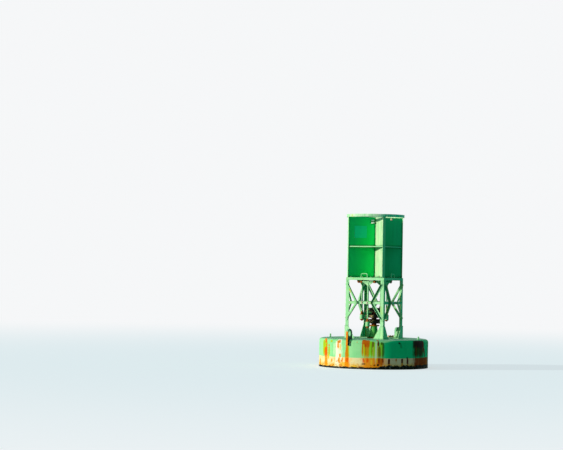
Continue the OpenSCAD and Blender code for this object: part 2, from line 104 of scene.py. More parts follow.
def placeCamera(settings):
    azimuth, yaw, pitch, roll = [math.radians(settings[key]) for key in ("azimuth", "yaw", "pitch", "roll")]
    ahead = Vector((-math.sin(azimuth), math.cos(azimuth), 0))
    right = Vector((math.cos(azimuth), math.sin(azimuth), 0))
    up = Vector((0, 0, 1))
    turned = ahead * math.cos(yaw) - right * math.sin(yaw)
    right = right * math.cos(yaw) + ahead * math.sin(yaw)
    look = turned * math.cos(pitch) + up * math.sin(pitch)
    up = up * math.cos(pitch) - turned * math.sin(pitch)
    across = right * math.cos(roll) + up * math.sin(roll)
    upright = up * math.cos(roll) - right * math.sin(roll)
    data = bpy.data.cameras.new("photoCamera")
    data.sensor_width = settings["sensor"]
    data.lens = settings["focalPixels"] / settings["imageWidth"] * settings["sensor"]
    data.clip_end = 500
    holder = bpy.data.objects.new("photoCamera", data)
    scene.collection.objects.link(holder)
    place = Matrix((across, upright, -look)).transposed().to_4x4()
    place.translation = -ahead * settings["distance"] + Vector((0, 0, settings["height"]))
    holder.matrix_world = place
    scene.camera = holder


clearDefaults()
placeCamera(camera)
print("camera placed")


# Small helpers that wire shader nodes
def feed(tree, value, socket):
    if isinstance(value, bpy.types.NodeSocket):
        tree.links.new(value, socket)
    else:
        socket.default_value = value


def calc(tree, operation, first, second=0.0, third=0.0, clamp=False):
    node = tree.nodes.new("ShaderNodeMath")
    node.operation = operation
    node.use_clamp = clamp
    for socket, value in zip(node.inputs, (first, second, third)):
        feed(tree, value, socket)
    return node.outputs[0]


def times(tree, first, second, clamp=False):
    return calc(tree, "MULTIPLY", first, second, clamp=clamp)


def plus(tree, first, second, clamp=False):
    return calc(tree, "ADD", first, second, clamp=clamp)


def minus(tree, first, second):
    return calc(tree, "SUBTRACT", first, second)


def scaled(tree, value, factor, start, clamp=False):
    return calc(tree, "MULTIPLY_ADD", value, factor, start, clamp)


def vectorCalc(tree, operation, first, second):
    node = tree.nodes.new("ShaderNodeVectorMath")
    node.operation = operation
    feed(tree, first, node.inputs[0])
    feed(tree, second, node.inputs[1])
    return node.outputs["Value" if operation == "DOT_PRODUCT" else "Vector"]


def stretched(tree, place, across, along):
    return vectorCalc(tree, "MULTIPLY", place, (across, across, along))


def parted(tree, place):
    node = tree.nodes.new("ShaderNodeSeparateXYZ")
    feed(tree, place, node.inputs[0])
    return node.outputs


# Distance from the upright axis
def planReach(tree, x, y):
    return calc(tree, "SQRT", plus(tree, times(tree, x, x), times(tree, y, y)))


def ramp(tree, value, low, high, start=0.0, end=1.0, smooth=True):
    node = tree.nodes.new("ShaderNodeMapRange")
    node.interpolation_type = "SMOOTHSTEP" if smooth else "LINEAR"
    for index, item in enumerate((value, low, high, start, end)):
        feed(tree, item, node.inputs[index])
    return node.outputs[0]


def mixColor(tree, factor, first, second, blend="MIX"):
    node = tree.nodes.new("ShaderNodeMix")
    node.data_type = "RGBA"
    node.blend_type = blend
    feed(tree, factor, node.inputs["Factor"])
    feed(tree, first, node.inputs[6])
    feed(tree, second, node.inputs[7])
    return node.outputs[2]


def mottle(tree, place, scale, detail=4.0, rough=0.55, warp=0.0):
    node = tree.nodes.new("ShaderNodeTexNoise")
    feed(tree, place, node.inputs["Vector"])
    feed(tree, scale, node.inputs["Scale"])
    node.inputs["Detail"].default_value = detail
    node.inputs["Roughness"].default_value = rough
    node.inputs["Distortion"].default_value = warp
    return node.outputs["Fac"]


# Noise with one scale across and another along the height
def streaks(tree, place, across, along, detail, rough=0.6, warp=0.0):
    return mottle(tree, stretched(tree, place, across, along), 1.0, detail, rough, warp)


def newGroup(name, inputs, outputs):
    tree = bpy.data.node_groups.new(name, "ShaderNodeTree")
    kinds = {"color": "NodeSocketColor", "value": "NodeSocketFloat", "vector": "NodeSocketVector"}
    for label, kind, value in inputs:
        socket = tree.interface.new_socket(label, in_out="INPUT", socket_type=kinds[kind])
        socket.default_value = value
    for label, kind in outputs:
        tree.interface.new_socket(label, in_out="OUTPUT", socket_type=kinds[kind])
    return tree, tree.nodes.new("NodeGroupInput").outputs, tree.nodes.new("NodeGroupOutput").inputs


def useGroup(tree, group, **values):
    node = tree.nodes.new("ShaderNodeGroup")
    node.node_tree = group
    for label, value in values.items():
        feed(tree, value, node.inputs[label])
    return node.outputs


# Chalky sea-worn paint: faded patches, long grime runs and a fine grain
def makeChalkyPaint():
    tree, given, out = newGroup(
        "chalkyPaint",
        [("Place", "vector", (0, 0, 0)), ("Paint", "color", (0.3, 0.7, 0.4, 1)),
         ("Faded", "color", (0.5, 0.8, 0.5, 1)), ("Fade", "value", 0.5),
         ("Grime", "color", (0.1, 0.15, 0.08, 1)), ("Dirt", "value", 0.3), ("Size", "value", 1.0)],
        [("Color", "color"), ("Roughness", "value"), ("Height", "value")])
    patches = mottle(tree, given["Place"], times(tree, given["Size"], 2.2), 6, 0.6, 0.4)
    faded = times(tree, ramp(tree, patches, 0.35, 0.68), given["Fade"])
    color = mixColor(tree, faded, given["Paint"], given["Faded"])
    runs = mottle(tree, stretched(tree, given["Place"], 14, 0.7), given["Size"], 5, 0.65)
    sooty = times(tree, ramp(tree, runs, 0.5, 0.78), given["Dirt"])
    color = mixColor(tree, sooty, color, given["Grime"])
    fine = mottle(tree, given["Place"], 90, 3, 0.6)
    speck = mottle(tree, given["Place"], 28, 2, 0.5)
    shade = scaled(tree, fine, 0.18, 0.91)  # a fine grain, lighter and darker
    tint = tree.nodes.new("ShaderNodeCombineColor")
    for socket in tint.inputs[:3]:
        feed(tree, shade, socket)
    color = mixColor(tree, 1.0, color, tint.outputs[0], "MULTIPLY")
    dark = times(tree, ramp(tree, speck, 0.68, 0.76), given["Dirt"])
    color = mixColor(tree, dark, color, given["Grime"])
    feed(tree, color, out["Color"])
    feed(tree, scaled(tree, patches, 0.35, 0.4), out["Roughness"])
    height = plus(tree, times(tree, patches, 0.6), times(tree, fine, 0.25))
    feed(tree, height, out["Height"])
    return tree


# Rust that breaks through in spots, thicker where the given lead is high
def makeRustBloom():
    tree, given, out = newGroup(
        "rustBloom",
        [("Place", "vector", (0, 0, 0)), ("Lead", "value", 0.0), ("Amount", "value", 0.3),
         ("Size", "value", 1.0), ("Core", "color", (0.12, 0.03, 0.01, 1)),
         ("Halo", "color", (0.55, 0.2, 0.03, 1))],
        [("Color", "color"), ("Mask", "value"), ("Height", "value")])
    broad = mottle(tree, given["Place"], times(tree, given["Size"], 7.0), 8, 0.68, 0.3)
    grain = mottle(tree, given["Place"], times(tree, given["Size"], 65.0), 4, 0.6)
    mixed = plus(tree, broad, times(tree, minus(tree, grain, 0.5), 0.18))
    mixed = plus(tree, mixed, times(tree, given["Lead"], 0.45))
    limit = minus(tree, 0.95, times(tree, given["Amount"], 0.6))
    over = minus(tree, mixed, limit)
    mask = ramp(tree, over, -0.03, 0.05)
    heart = ramp(tree, over, 0.03, 0.2)
    color = mixColor(tree, heart, given["Halo"], given["Core"])
    tone = ramp(tree, grain, 0.3, 0.7, 0.0, 0.55)
    color = mixColor(tree, tone, color, given["Halo"])
    feed(tree, color, out["Color"])
    feed(tree, mask, out["Mask"])
    feed(tree, times(tree, grain, mask), out["Height"])
    return tree


# Bare or rusty rim along sharp edges, broken up by a noise
def makeEdgeWear():
    tree, given, out = newGroup(
        "edgeWear",
        [("Place", "vector", (0, 0, 0)), ("Width", "value", 0.004), ("Break", "value", 30.0)],
        [("Mask", "value")])
    bevel = tree.nodes.new("ShaderNodeBevel")
    bevel.samples = 4
    feed(tree, given["Width"], bevel.inputs["Radius"])
    geometry = tree.nodes.new("ShaderNodeNewGeometry")
    bent = vectorCalc(tree, "DOT_PRODUCT", bevel.outputs[0], geometry.outputs["Normal"])
    broken = ramp(tree, mottle(tree, given["Place"], given["Break"], 4), 0.42, 0.6)
    feed(tree, times(tree, ramp(tree, bent, 0.995, 0.85), broken), out["Mask"])
    return tree


# Painted light and shade: faces turned towards the low key light keep the paint's colour, and faces turned
# away are multiplied by a darker shade tint
def makePaintedSunShade():
    tree, given, out = newGroup(
        "paintedSunShade",
        [("Color", "color", (0.3, 0.7, 0.4, 1)), ("Deep", "color", (0.1, 0.8, 0.7, 1)),
         ("Low", "value", -0.08), ("High", "value", 0.3)],
        [("Color", "color"), ("Mask", "value")])
    normal = tree.nodes.new("ShaderNodeNewGeometry").outputs["Normal"]
    turn = math.radians(sunAzimuth)
    toSun = vectorCalc(tree, "DOT_PRODUCT", normal, (math.cos(turn), math.sin(turn), 0.22))
    mask = ramp(tree, toSun, given["Low"], given["High"])
    shadeTint = mixColor(tree, 1.0, given["Color"], given["Deep"], "MULTIPLY")
    feed(tree, mixColor(tree, mask, shadeTint, given["Color"]), out["Color"])
    feed(tree, mask, out["Mask"])
    return tree


# Painted shade, partly dirt: darker where ambient occlusion finds surfaces close by, broken up by a noise
def makeCreviceShade():
    tree, given, out = newGroup(
        "creviceShade",
        [("Place", "vector", (0, 0, 0)), ("Reach", "value", 0.04)],
        [("Mask", "value")])
    closeness = tree.nodes.new("ShaderNodeAmbientOcclusion")
    closeness.samples = 8
    feed(tree, given["Reach"], closeness.inputs["Distance"])
    dirt = ramp(tree, closeness.outputs["AO"], 0.92, 0.45)
    patchy = ramp(tree, mottle(tree, given["Place"], 26, 4, 0.6), 0.3, 0.6, 0.55, 1.0)
    feed(tree, times(tree, dirt, patchy), out["Mask"])
    return tree


# One stain running down a round wall: an angle, a width, a top and a foot
def makeRustRun():
    tree, given, out = newGroup(
        "rustRun",
        [("Turn", "value", 0.0), ("Height", "value", 0.0), ("Ragged", "value", 0.5),
         ("Grain", "value", 0.5), ("Angle", "value", 0.0), ("Width", "value", 4.0),
         ("Top", "value", 0.6), ("Foot", "value", 0.0), ("Lean", "value", 0.0),
         ("Spread", "value", 0.3)],
        [("Mask", "value")])
    ragged = minus(tree, given["Ragged"], 0.5)
    grain = minus(tree, given["Grain"], 0.5)
    drop = minus(tree, given["Top"], given["Height"])
    share = calc(tree, "DIVIDE", drop, minus(tree, given["Top"], given["Foot"]))
    centre = scaled(tree, given["Lean"], drop, given["Angle"])
    away = calc(tree, "WRAP", minus(tree, given["Turn"], centre), 180.0, -180.0)
    half = times(tree, given["Width"], 0.5)
    half = times(tree, half, scaled(tree, share, given["Spread"], 0.9))
    side = calc(tree, "DIVIDE", calc(tree, "ABSOLUTE", away), half)
    side = scaled(tree, ragged, 1.1, side)
    side = scaled(tree, grain, 0.8, side)
    ends = calc(tree, "POWER", calc(tree, "ABSOLUTE", scaled(tree, share, 2.0, -1.0)), 4.0)
    rounding = calc(tree, "MINIMUM", calc(tree, "DIVIDE", 1.6, given["Width"]), 0.5)
    side = scaled(tree, ends, rounding, side)
    body = ramp(tree, side, 1.25, 0.8)
    topEdge = ramp(tree, scaled(tree, ragged, 0.07, drop), -0.008, 0.008)
    footEdge = ramp(tree, scaled(tree, grain, 0.7, share), 1.12, 0.75)
    streaked = ramp(tree, given["Grain"], 0.66, 0.46, 0.85, 1.0)
    mask = times(tree, times(tree, body, topEdge), footEdge)
    feed(tree, times(tree, mask, streaked), out["Mask"])
    return tree


chalkyPaint = makeChalkyPaint()
rustBloom = makeRustBloom()
edgeWear = makeEdgeWear()
paintedSunShade = makePaintedSunShade()
creviceShade = makeCreviceShade()
rustRun = makeRustRun()
print("shader groups built")


def startMaterial(name):
    material = bpy.data.materials.new(name)
    material.use_nodes = True
    tree = material.node_tree
    shader = tree.nodes["Principled BSDF"]
    place = tree.nodes.new("ShaderNodeTexCoord").outputs["Object"]
    return material, tree, shader, place


def addBump(tree, shader, height, depth):
    bump = tree.nodes.new("ShaderNodeBump")
    bump.inputs["Distance"].default_value = depth
    bump.inputs["Strength"].default_value = 1.0
    feed(tree, height, bump.inputs["Height"])
    feed(tree, bump.outputs[0], shader.inputs["Normal"])


# Rust colours that several finishes share
rustCore = (0.10, 0.022, 0.006, 1)
rustOrange = (0.80, 0.22, 0.010, 1)
# Yellow-green lichen, laid only on faces towards the key light, so partly painted highlight
lichenGlintColor = (0.50, 0.60, 0.03, 1)


# How near a point is to one of some heights, as a lead for the rust
def nearHeights(tree, place, bands):
    z = parted(tree, place)[2]
    lead = 0.0
    for height, reach in bands:
        away = calc(tree, "ABSOLUTE", minus(tree, z, height))
        lead = plus(tree, ramp(tree, away, reach, 0.0), lead)
    return lead


# Painted steel in the open: chalky, rusting at edges and bands, with painted shade (partly dirt) in the
# corners and a painted shade tint on faces turned from the key light
def paintedSteel(name, settings):
    material, tree, shader, place = startMaterial(name)
    seeded = vectorCalc(tree, "ADD", place, settings.get("seed", (0, 0, 0)))
    paint = useGroup(tree, chalkyPaint, Place=seeded, Paint=settings["paint"], Faded=settings["faded"],
                     Fade=settings["fade"], Grime=settings["grime"], Dirt=settings["dirt"])
    edge = useGroup(tree, edgeWear, Place=seeded, Width=settings.get("edge", 0.004))
    lead = edge["Mask"]
    if "bands" in settings:
        lead = plus(tree, lead, nearHeights(tree, place, settings["bands"]))
    bloom = useGroup(tree, rustBloom, Place=seeded, Lead=lead, Amount=settings["rust"],
                     Core=rustCore, Halo=rustOrange)
    color = paint["Color"]
    if "bright" in settings:
        color = litNearMiddle(tree, place, color, settings)
    # Painted shade: faces turned from the key light take the shade tint
    sunShaded = useGroup(tree, paintedSunShade, Color=color, Deep=settings["shadeTint"])
    color = sunShaded["Color"]
    # Streaks and flecks are real marks on some parts and painted glints on others
    if "streakAndGlint" in settings:
        runs = streaks(tree, seeded, 32, 0.9, 4)
        color = mixColor(tree, ramp(tree, runs, 0.5, 0.66, 0.0, 0.6), color, settings["streakAndGlint"])
        spots = streaks(tree, seeded, 46, 20, 3)
        color = mixColor(tree, ramp(tree, spots, 0.66, 0.72, 0.0, 0.7), color, settings["fleckAndGlint"])
    # Lichen only on faces towards the key light: partly painted highlight
    if "lichenAndGlint" in settings:
        growth = streaks(tree, seeded, 7, 3, 6, 0.65, 0.4)
        spread = times(tree, ramp(tree, growth, 0.56, 0.66), settings["lichenAndGlint"])
        color = mixColor(tree, times(tree, spread, sunShaded["Mask"]), color, lichenGlintColor)
    # Painted shade, partly dirt: the grime colour goes where surfaces meet
    dirt = useGroup(tree, creviceShade, Place=seeded, Reach=settings.get("creviceShade", 0.03))
    creviceShadeStrength = times(tree, dirt["Mask"], settings.get("creviceShadeStrength", 0.75))
    color = mixColor(tree, creviceShadeStrength, color, settings["grime"])
    color = mixColor(tree, bloom["Mask"], color, bloom["Color"])
    feed(tree, color, shader.inputs["Base Color"])
    rough = plus(tree, paint["Roughness"], times(tree, bloom["Mask"], 0.25), clamp=True)
    feed(tree, rough, shader.inputs["Roughness"])
    height = minus(tree, paint["Height"], times(tree, bloom["Mask"], 0.8))
    height = plus(tree, height, times(tree, bloom["Height"], 0.6))
    addBump(tree, shader, height, settings["bump"])
    shader.inputs["Specular IOR Level"].default_value = settings["specular"]
    return material


towerLook = {
    "paint": (0.34, 0.78, 0.35, 1),
    "faded": (0.52, 0.88, 0.49, 1),
    "shadeTint": (0.06, 0.76, 0.68, 1),
    "fade": 0.7,
    "grime": (0.06, 0.22, 0.06, 1),
    "dirt": 0.35,
    "rust": 0.40,
    "edge": 0.004,
    "lichenAndGlint": 0.6,
    "bump": 0.0012,
    "specular": 0.12,
}
# The other painted parts, told from the tower by what differs
postLook = dict(towerLook, shadeTint=(0.02, 0.66, 0.56, 1), seed=(1.3, 6.0, 2.0), lichenAndGlint=0.2)
# The hoop's cream streaks and flecks are painted glints
hoopLook = dict(towerLook, shadeTint=(0.05, 0.92, 0.80, 1), seed=(2.2, 0.6, 5.0), faded=(0.78, 0.94, 0.66, 1),
                creviceShade=0.02, streakAndGlint=(0.98, 0.97, 0.80, 1), fleckAndGlint=(0.98, 0.90, 0.72, 1))
# The braces' dark shade tint, strong corner shade and dark grime paint shade along their flanges
braceLook = dict(towerLook, shadeTint=(0.03, 0.55, 0.38, 1), seed=(4.1, 3.2, 0.7), lichenAndGlint=0.9, creviceShade=0.07,
                 creviceShadeStrength=1.0, grime=(0.01, 0.20, 0.07, 1))
# The gussets' yellow-green streaks and flecks are partly painted highlight
gussetLook = dict(towerLook, seed=(6.6, 1.2, 3.4), lichenAndGlint=0.25, streakAndGlint=(0.74, 0.96, 0.52, 1),
                  fleckAndGlint=(0.70, 0.86, 0.20, 1))
# The reflector plates wear lit and shaded copies of one paint: this green with almost no red is the shaded
# copy, with strong painted shade in the corners
reflectorLook = {
    "paint": (0.012, 0.60, 0.20, 1),
    "faded": (0.03, 0.66, 0.24, 1),
    "shadeTint": (0.3, 0.92, 0.95, 1),
    "fade": 0.6,
    "grime": (0.004, 0.16, 0.05, 1),
    "dirt": 0.15,
    "rust": 0.28,
    "creviceShade": 0.07,
    "creviceShadeStrength": 1.0,
    "seed": (3.1, 1.7, 0.4),
    "bump": 0.0012,
    "specular": 0.08,
}
# The plate that faces the key light wears the pale, lit copy
sunlitPlateLook = dict(reflectorLook, paint=(0.36, 0.66, 0.32, 1), faded=(0.58, 0.72, 0.44, 1), fade=0.9,
                    shadeTint=(0.03, 0.8, 0.6, 1), rust=0.36, dirt=0.35, streakAndGlint=(0.86, 0.95, 0.70, 1),
                    fleckAndGlint=(0.95, 0.55, 0.42, 1))
# The bright colour and the left tint paint bounce light from the plate square to the long plate
longPlateLook = dict(reflectorLook, seed=(0.2, 4.4, 1.1), bright=(0.003, 1.0, 0.17, 1),
                     leftBounceTint=(0.5, 1.28, 0.8, 1))
tapperLook = dict(towerLook, rust=0.46, seed=(5.0, 2.0, 1.0), dirt=0.4)
pedestalLook = dict(towerLook, paint=(0.06, 0.40, 0.06, 1), faded=(0.20, 0.62, 0.16, 1), rust=0.42,
                    dirt=0.6, seed=(7.0, 0.3, 2.0), bands=((1.045, 0.03), (0.725, 0.03)))
palePaintLook = dict(towerLook, paint=(0.80, 0.95, 0.76, 1), faded=(0.92, 0.95, 0.84, 1), rust=0.3,
                     lichenAndGlint=0.1, shadeTint=(0.9, 0.95, 0.9, 1))
creamLook = dict(palePaintLook, paint=(0.98, 0.66, 0.42, 1), faded=(0.98, 0.80, 0.55, 1), lichenAndGlint=0.0)
primerLook = dict(towerLook, paint=(0.74, 0.52, 0.40, 1), faded=(0.86, 0.72, 0.58, 1), rust=0.42,
                  lichenAndGlint=0.1, shadeTint=(0.4, 0.4, 0.4, 1))
panelLook = {
    "paint": (0.002, 0.84, 0.34, 1),
    "faded": (0.01, 0.92, 0.40, 1),
    "shadeTint": (1.0, 1.0, 1.0, 1),
    "fade": 0.5,
    "grime": (0.02, 0.3, 0.18, 1),
    "dirt": 0.1,
    "rust": 0.05,
    "creviceShade": 0.01,
    "bump": 0.0012,
    "specular": 0.1,
}


# Painted bounce light: the long plate's left half is tinted brighter and greener, most of all near the
# middle, beside the plate that stands square to it
def litNearMiddle(tree, place, color, settings):
    x, y, _ = parted(tree, place)
    reach = planReach(tree, x, y)
    left = ramp(tree, plus(tree, x, y), 0.05, -0.05)
    color = mixColor(tree, left, color, mixColor(tree, 1.0, color, settings["leftBounceTint"], "MULTIPLY"))
    mask = times(tree, ramp(tree, reach, 0.58, 0.10, 0.0, 0.85), left)
    return mixColor(tree, mask, color, settings["bright"])


towerPaint = paintedSteel("towerPaint", towerLook)
longPlatePaint = paintedSteel("longPlatePaint", longPlateLook)
reflectorPaint = paintedSteel("reflectorPaint", reflectorLook)
sunlitPlatePaint = paintedSteel("sunlitPlatePaint", sunlitPlateLook)
palePaint = paintedSteel("palePaint", palePaintLook)
creamPaint = paintedSteel("creamPaint", creamLook)
primerPaint = paintedSteel("primerPaint", primerLook)
postPaint = paintedSteel("postPaint", postLook)
hoopPaint = paintedSteel("hoopPaint", hoopLook)
bracePaint = paintedSteel("bracePaint", braceLook)
gussetPaint = paintedSteel("gussetPaint", gussetLook)
pedestalPaint = paintedSteel("pedestalPaint", pedestalLook)
tealPanel = paintedSteel("tealPanel", panelLook)


# Bare steel and other dark things: two scales of mottle in three colours, and a painted shade tint on faces
# turned from the key light
def rustySteel(name, settings):
    material, tree, shader, place = startMaterial(name)
    broad = mottle(tree, place, settings["patch"], 7, 0.65, 0.5)
    fine = mottle(tree, place, settings["grain"], 5, 0.65)
    color = mixColor(tree, ramp(tree, broad, 0.35, 0.65), settings["dark"], settings["mid"])
    color = mixColor(tree, ramp(tree, fine, 0.48, 0.72), color, settings["bright"])
    sunShaded = useGroup(tree, paintedSunShade, Color=color, Deep=settings["shadeTint"], Low=-0.05, High=0.25)
    feed(tree, sunShaded["Color"], shader.inputs["Base Color"])
    feed(tree, scaled(tree, fine, 0.25, 0.68), shader.inputs["Roughness"])
    addBump(tree, shader, plus(tree, times(tree, broad, 0.7), fine), settings["bump"])
    shader.inputs["Specular IOR Level"].default_value = 0.25
    return material


ironLook = {
    "dark": (0.16, 0.035, 0.008, 1),
    "mid": (0.52, 0.13, 0.012, 1),
    "bright": (0.85, 0.30, 0.03, 1),
    "shadeTint": (0.10, 0.09, 0.10, 1),
    "patch": 14,
    "grain": 120,
    "bump": 0.0015,
}
fouledLook = dict(ironLook, dark=(0.02, 0.022, 0.014, 1), mid=(0.06, 0.055, 0.03, 1),
                  bright=(0.22, 0.2, 0.13, 1), shadeTint=(0.7, 0.8, 0.8, 1), patch=5, grain=45, bump=0.008)
# Partly painted light: the deck cover's rust colours are lightened to stand in for sunlight that the
# tower's shadow keeps off it
coverLook = dict(ironLook, dark=(0.72, 0.27, 0.07, 1), mid=(0.95, 0.52, 0.20, 1),
                 bright=(1.0, 0.80, 0.48, 1), shadeTint=(0.9, 0.9, 0.9, 1))
castLook = dict(ironLook, dark=(0.03, 0.025, 0.02, 1), mid=(0.09, 0.055, 0.035, 1),
                bright=(0.2, 0.1, 0.05, 1), shadeTint=(0.7, 0.75, 0.8, 1), patch=6, grain=70, bump=0.004)
weedLook = dict(ironLook, dark=(0.005, 0.008, 0.004, 1), mid=(0.012, 0.018, 0.008, 1),
                bright=(0.05, 0.06, 0.02, 1), shadeTint=(0.9, 0.9, 0.9, 1), patch=9, grain=60, bump=0.002)
rubberLook = dict(ironLook, dark=(0.012, 0.012, 0.012, 1), mid=(0.02, 0.02, 0.02, 1),
                  bright=(0.05, 0.05, 0.045, 1), shadeTint=(0.8, 0.8, 0.8, 1), patch=10, grain=150,
                  bump=0.0006)
rustyIron = rustySteel("rustyIron", ironLook)
coverRust = rustySteel("coverRust", coverLook)
fouledSteel = rustySteel("fouledSteel", fouledLook)
castIron = rustySteel("castIron", castLook)
stopRubber = rustySteel("stopRubber", rubberLook)
weedGreen = rustySteel("weedGreen", weedLook)

bronzeLook = {
    "metal": (0.045, 0.034, 0.014, 1),
    # Gold that is partly wear and partly painted highlight
    "worn": (1.0, 0.74, 0.30, 1),
    "patina": (0.003, 0.006, 0.006, 1),
    "metallic": 0.2,
    "bump": 0.0015,
}


# Bronze under a dark patina, rubbed bright along edges and in streaks. The gold shows only on faces towards
# the key light, so it is partly wear and partly painted highlight, and the faces turned away take a painted
# shade tint
def weatheredBronze(name, settings):
    material, tree, shader, place = startMaterial(name)
    broad = mottle(tree, place, 9, 6, 0.62, 0.6)
    fine = mottle(tree, place, 80, 4, 0.6)
    streakAndGlint = streaks(tree, place, 8, 30, 5, 0.65)
    color = mixColor(tree, ramp(tree, broad, 0.36, 0.52), settings["metal"], settings["patina"])
    edge = useGroup(tree, edgeWear, Place=place, Width=0.006, Break=14.0)
    # Painted highlight and shade: only faces towards the key light show the gold
    sunFacing = useGroup(tree, paintedSunShade, Color=color, Deep=(0.25, 0.35, 0.3, 1), Low=0.30, High=0.75)
    bright = plus(tree, times(tree, edge["Mask"], 0.6), ramp(tree, streakAndGlint, 0.50, 0.60))
    bright = times(tree, bright, sunFacing["Mask"], clamp=True)
    color = mixColor(tree, bright, sunFacing["Color"], settings["worn"])
    feed(tree, color, shader.inputs["Base Color"])
    feed(tree, ramp(tree, broad, 0.36, 0.52, settings["metallic"], 0.0), shader.inputs["Metallic"])
    feed(tree, scaled(tree, fine, 0.3, 0.42), shader.inputs["Roughness"])
    addBump(tree, shader, plus(tree, broad, times(tree, fine, 0.4)), settings["bump"])
    shader.inputs["Specular IOR Level"].default_value = 0.15
    return material


bronze = weatheredBronze("bronze", bronzeLook)

hullLook = {
    "paint": (0.26, 0.76, 0.29, 1),
    "faded": (0.42, 0.82, 0.37, 1),
    # Painted shade: the hull side and boot stripe turned from the key light take these tints
    "shadeTint": (0.01, 0.80, 0.66, 1),
    "bootDeep": (1.0, 0.84, 0.90, 1),
    "grime": (0.10, 0.34, 0.12, 1),
    "deck": (0.36, 0.62, 0.44, 1),
    "boot": (0.98, 0.76, 0.36, 1),
    "bootStain": (0.96, 0.42, 0.04, 1),
    "weed": (0.006, 0.008, 0.006, 1),
    "pit": (0.045, 0.016, 0.006, 1),
    "shell": (0.30, 0.30, 0.22, 1),
    "bootTop": 0.275,
    "weedTop": 0.046,
    "weedRise": 0.05,
    "riseFrom": (-62.0, -48.0),  # the angles between which the weed's edge climbs by the rise
    "riseTo": (30.0, 70.0),  # and between which it comes down again
    # Bounds of the painted shade edge, as how far a face turns towards the key light
    "sunLow": 0.11,
    "sunHigh": 0.22,
    "fade": 0.7,
    "dirt": 0.3,
    "rust": 0.42,
    "bump": 0.0014,
    "specular": 0.03,
}
stainTints = {
    "sap": (0.42, 0.56, 0.004, 1),
    "lime": (0.27, 0.70, 0.004, 1),
    "olive": (0.54, 0.50, 0.003, 1),
    "tobacco": (0.20, 0.17, 0.003, 1),
    "ochre": (0.72, 0.22, 0.002, 1),
    "amber": (0.98, 0.52, 0.02, 1),
    "orange": (0.98, 0.30, 0.003, 1),
    "ember": (0.88, 0.12, 0.002, 1),
    "brick": (0.62, 0.12, 0.002, 1),
    "sienna": (0.34, 0.040, 0.002, 1),
    "maroon": (0.10, 0.012, 0.003, 1),
    "soot": (0.006, 0.004, 0.003, 1),
    "moss": (0.012, 0.075, 0.004, 1),
    "chalk": (0.95, 0.93, 0.68, 1),
}

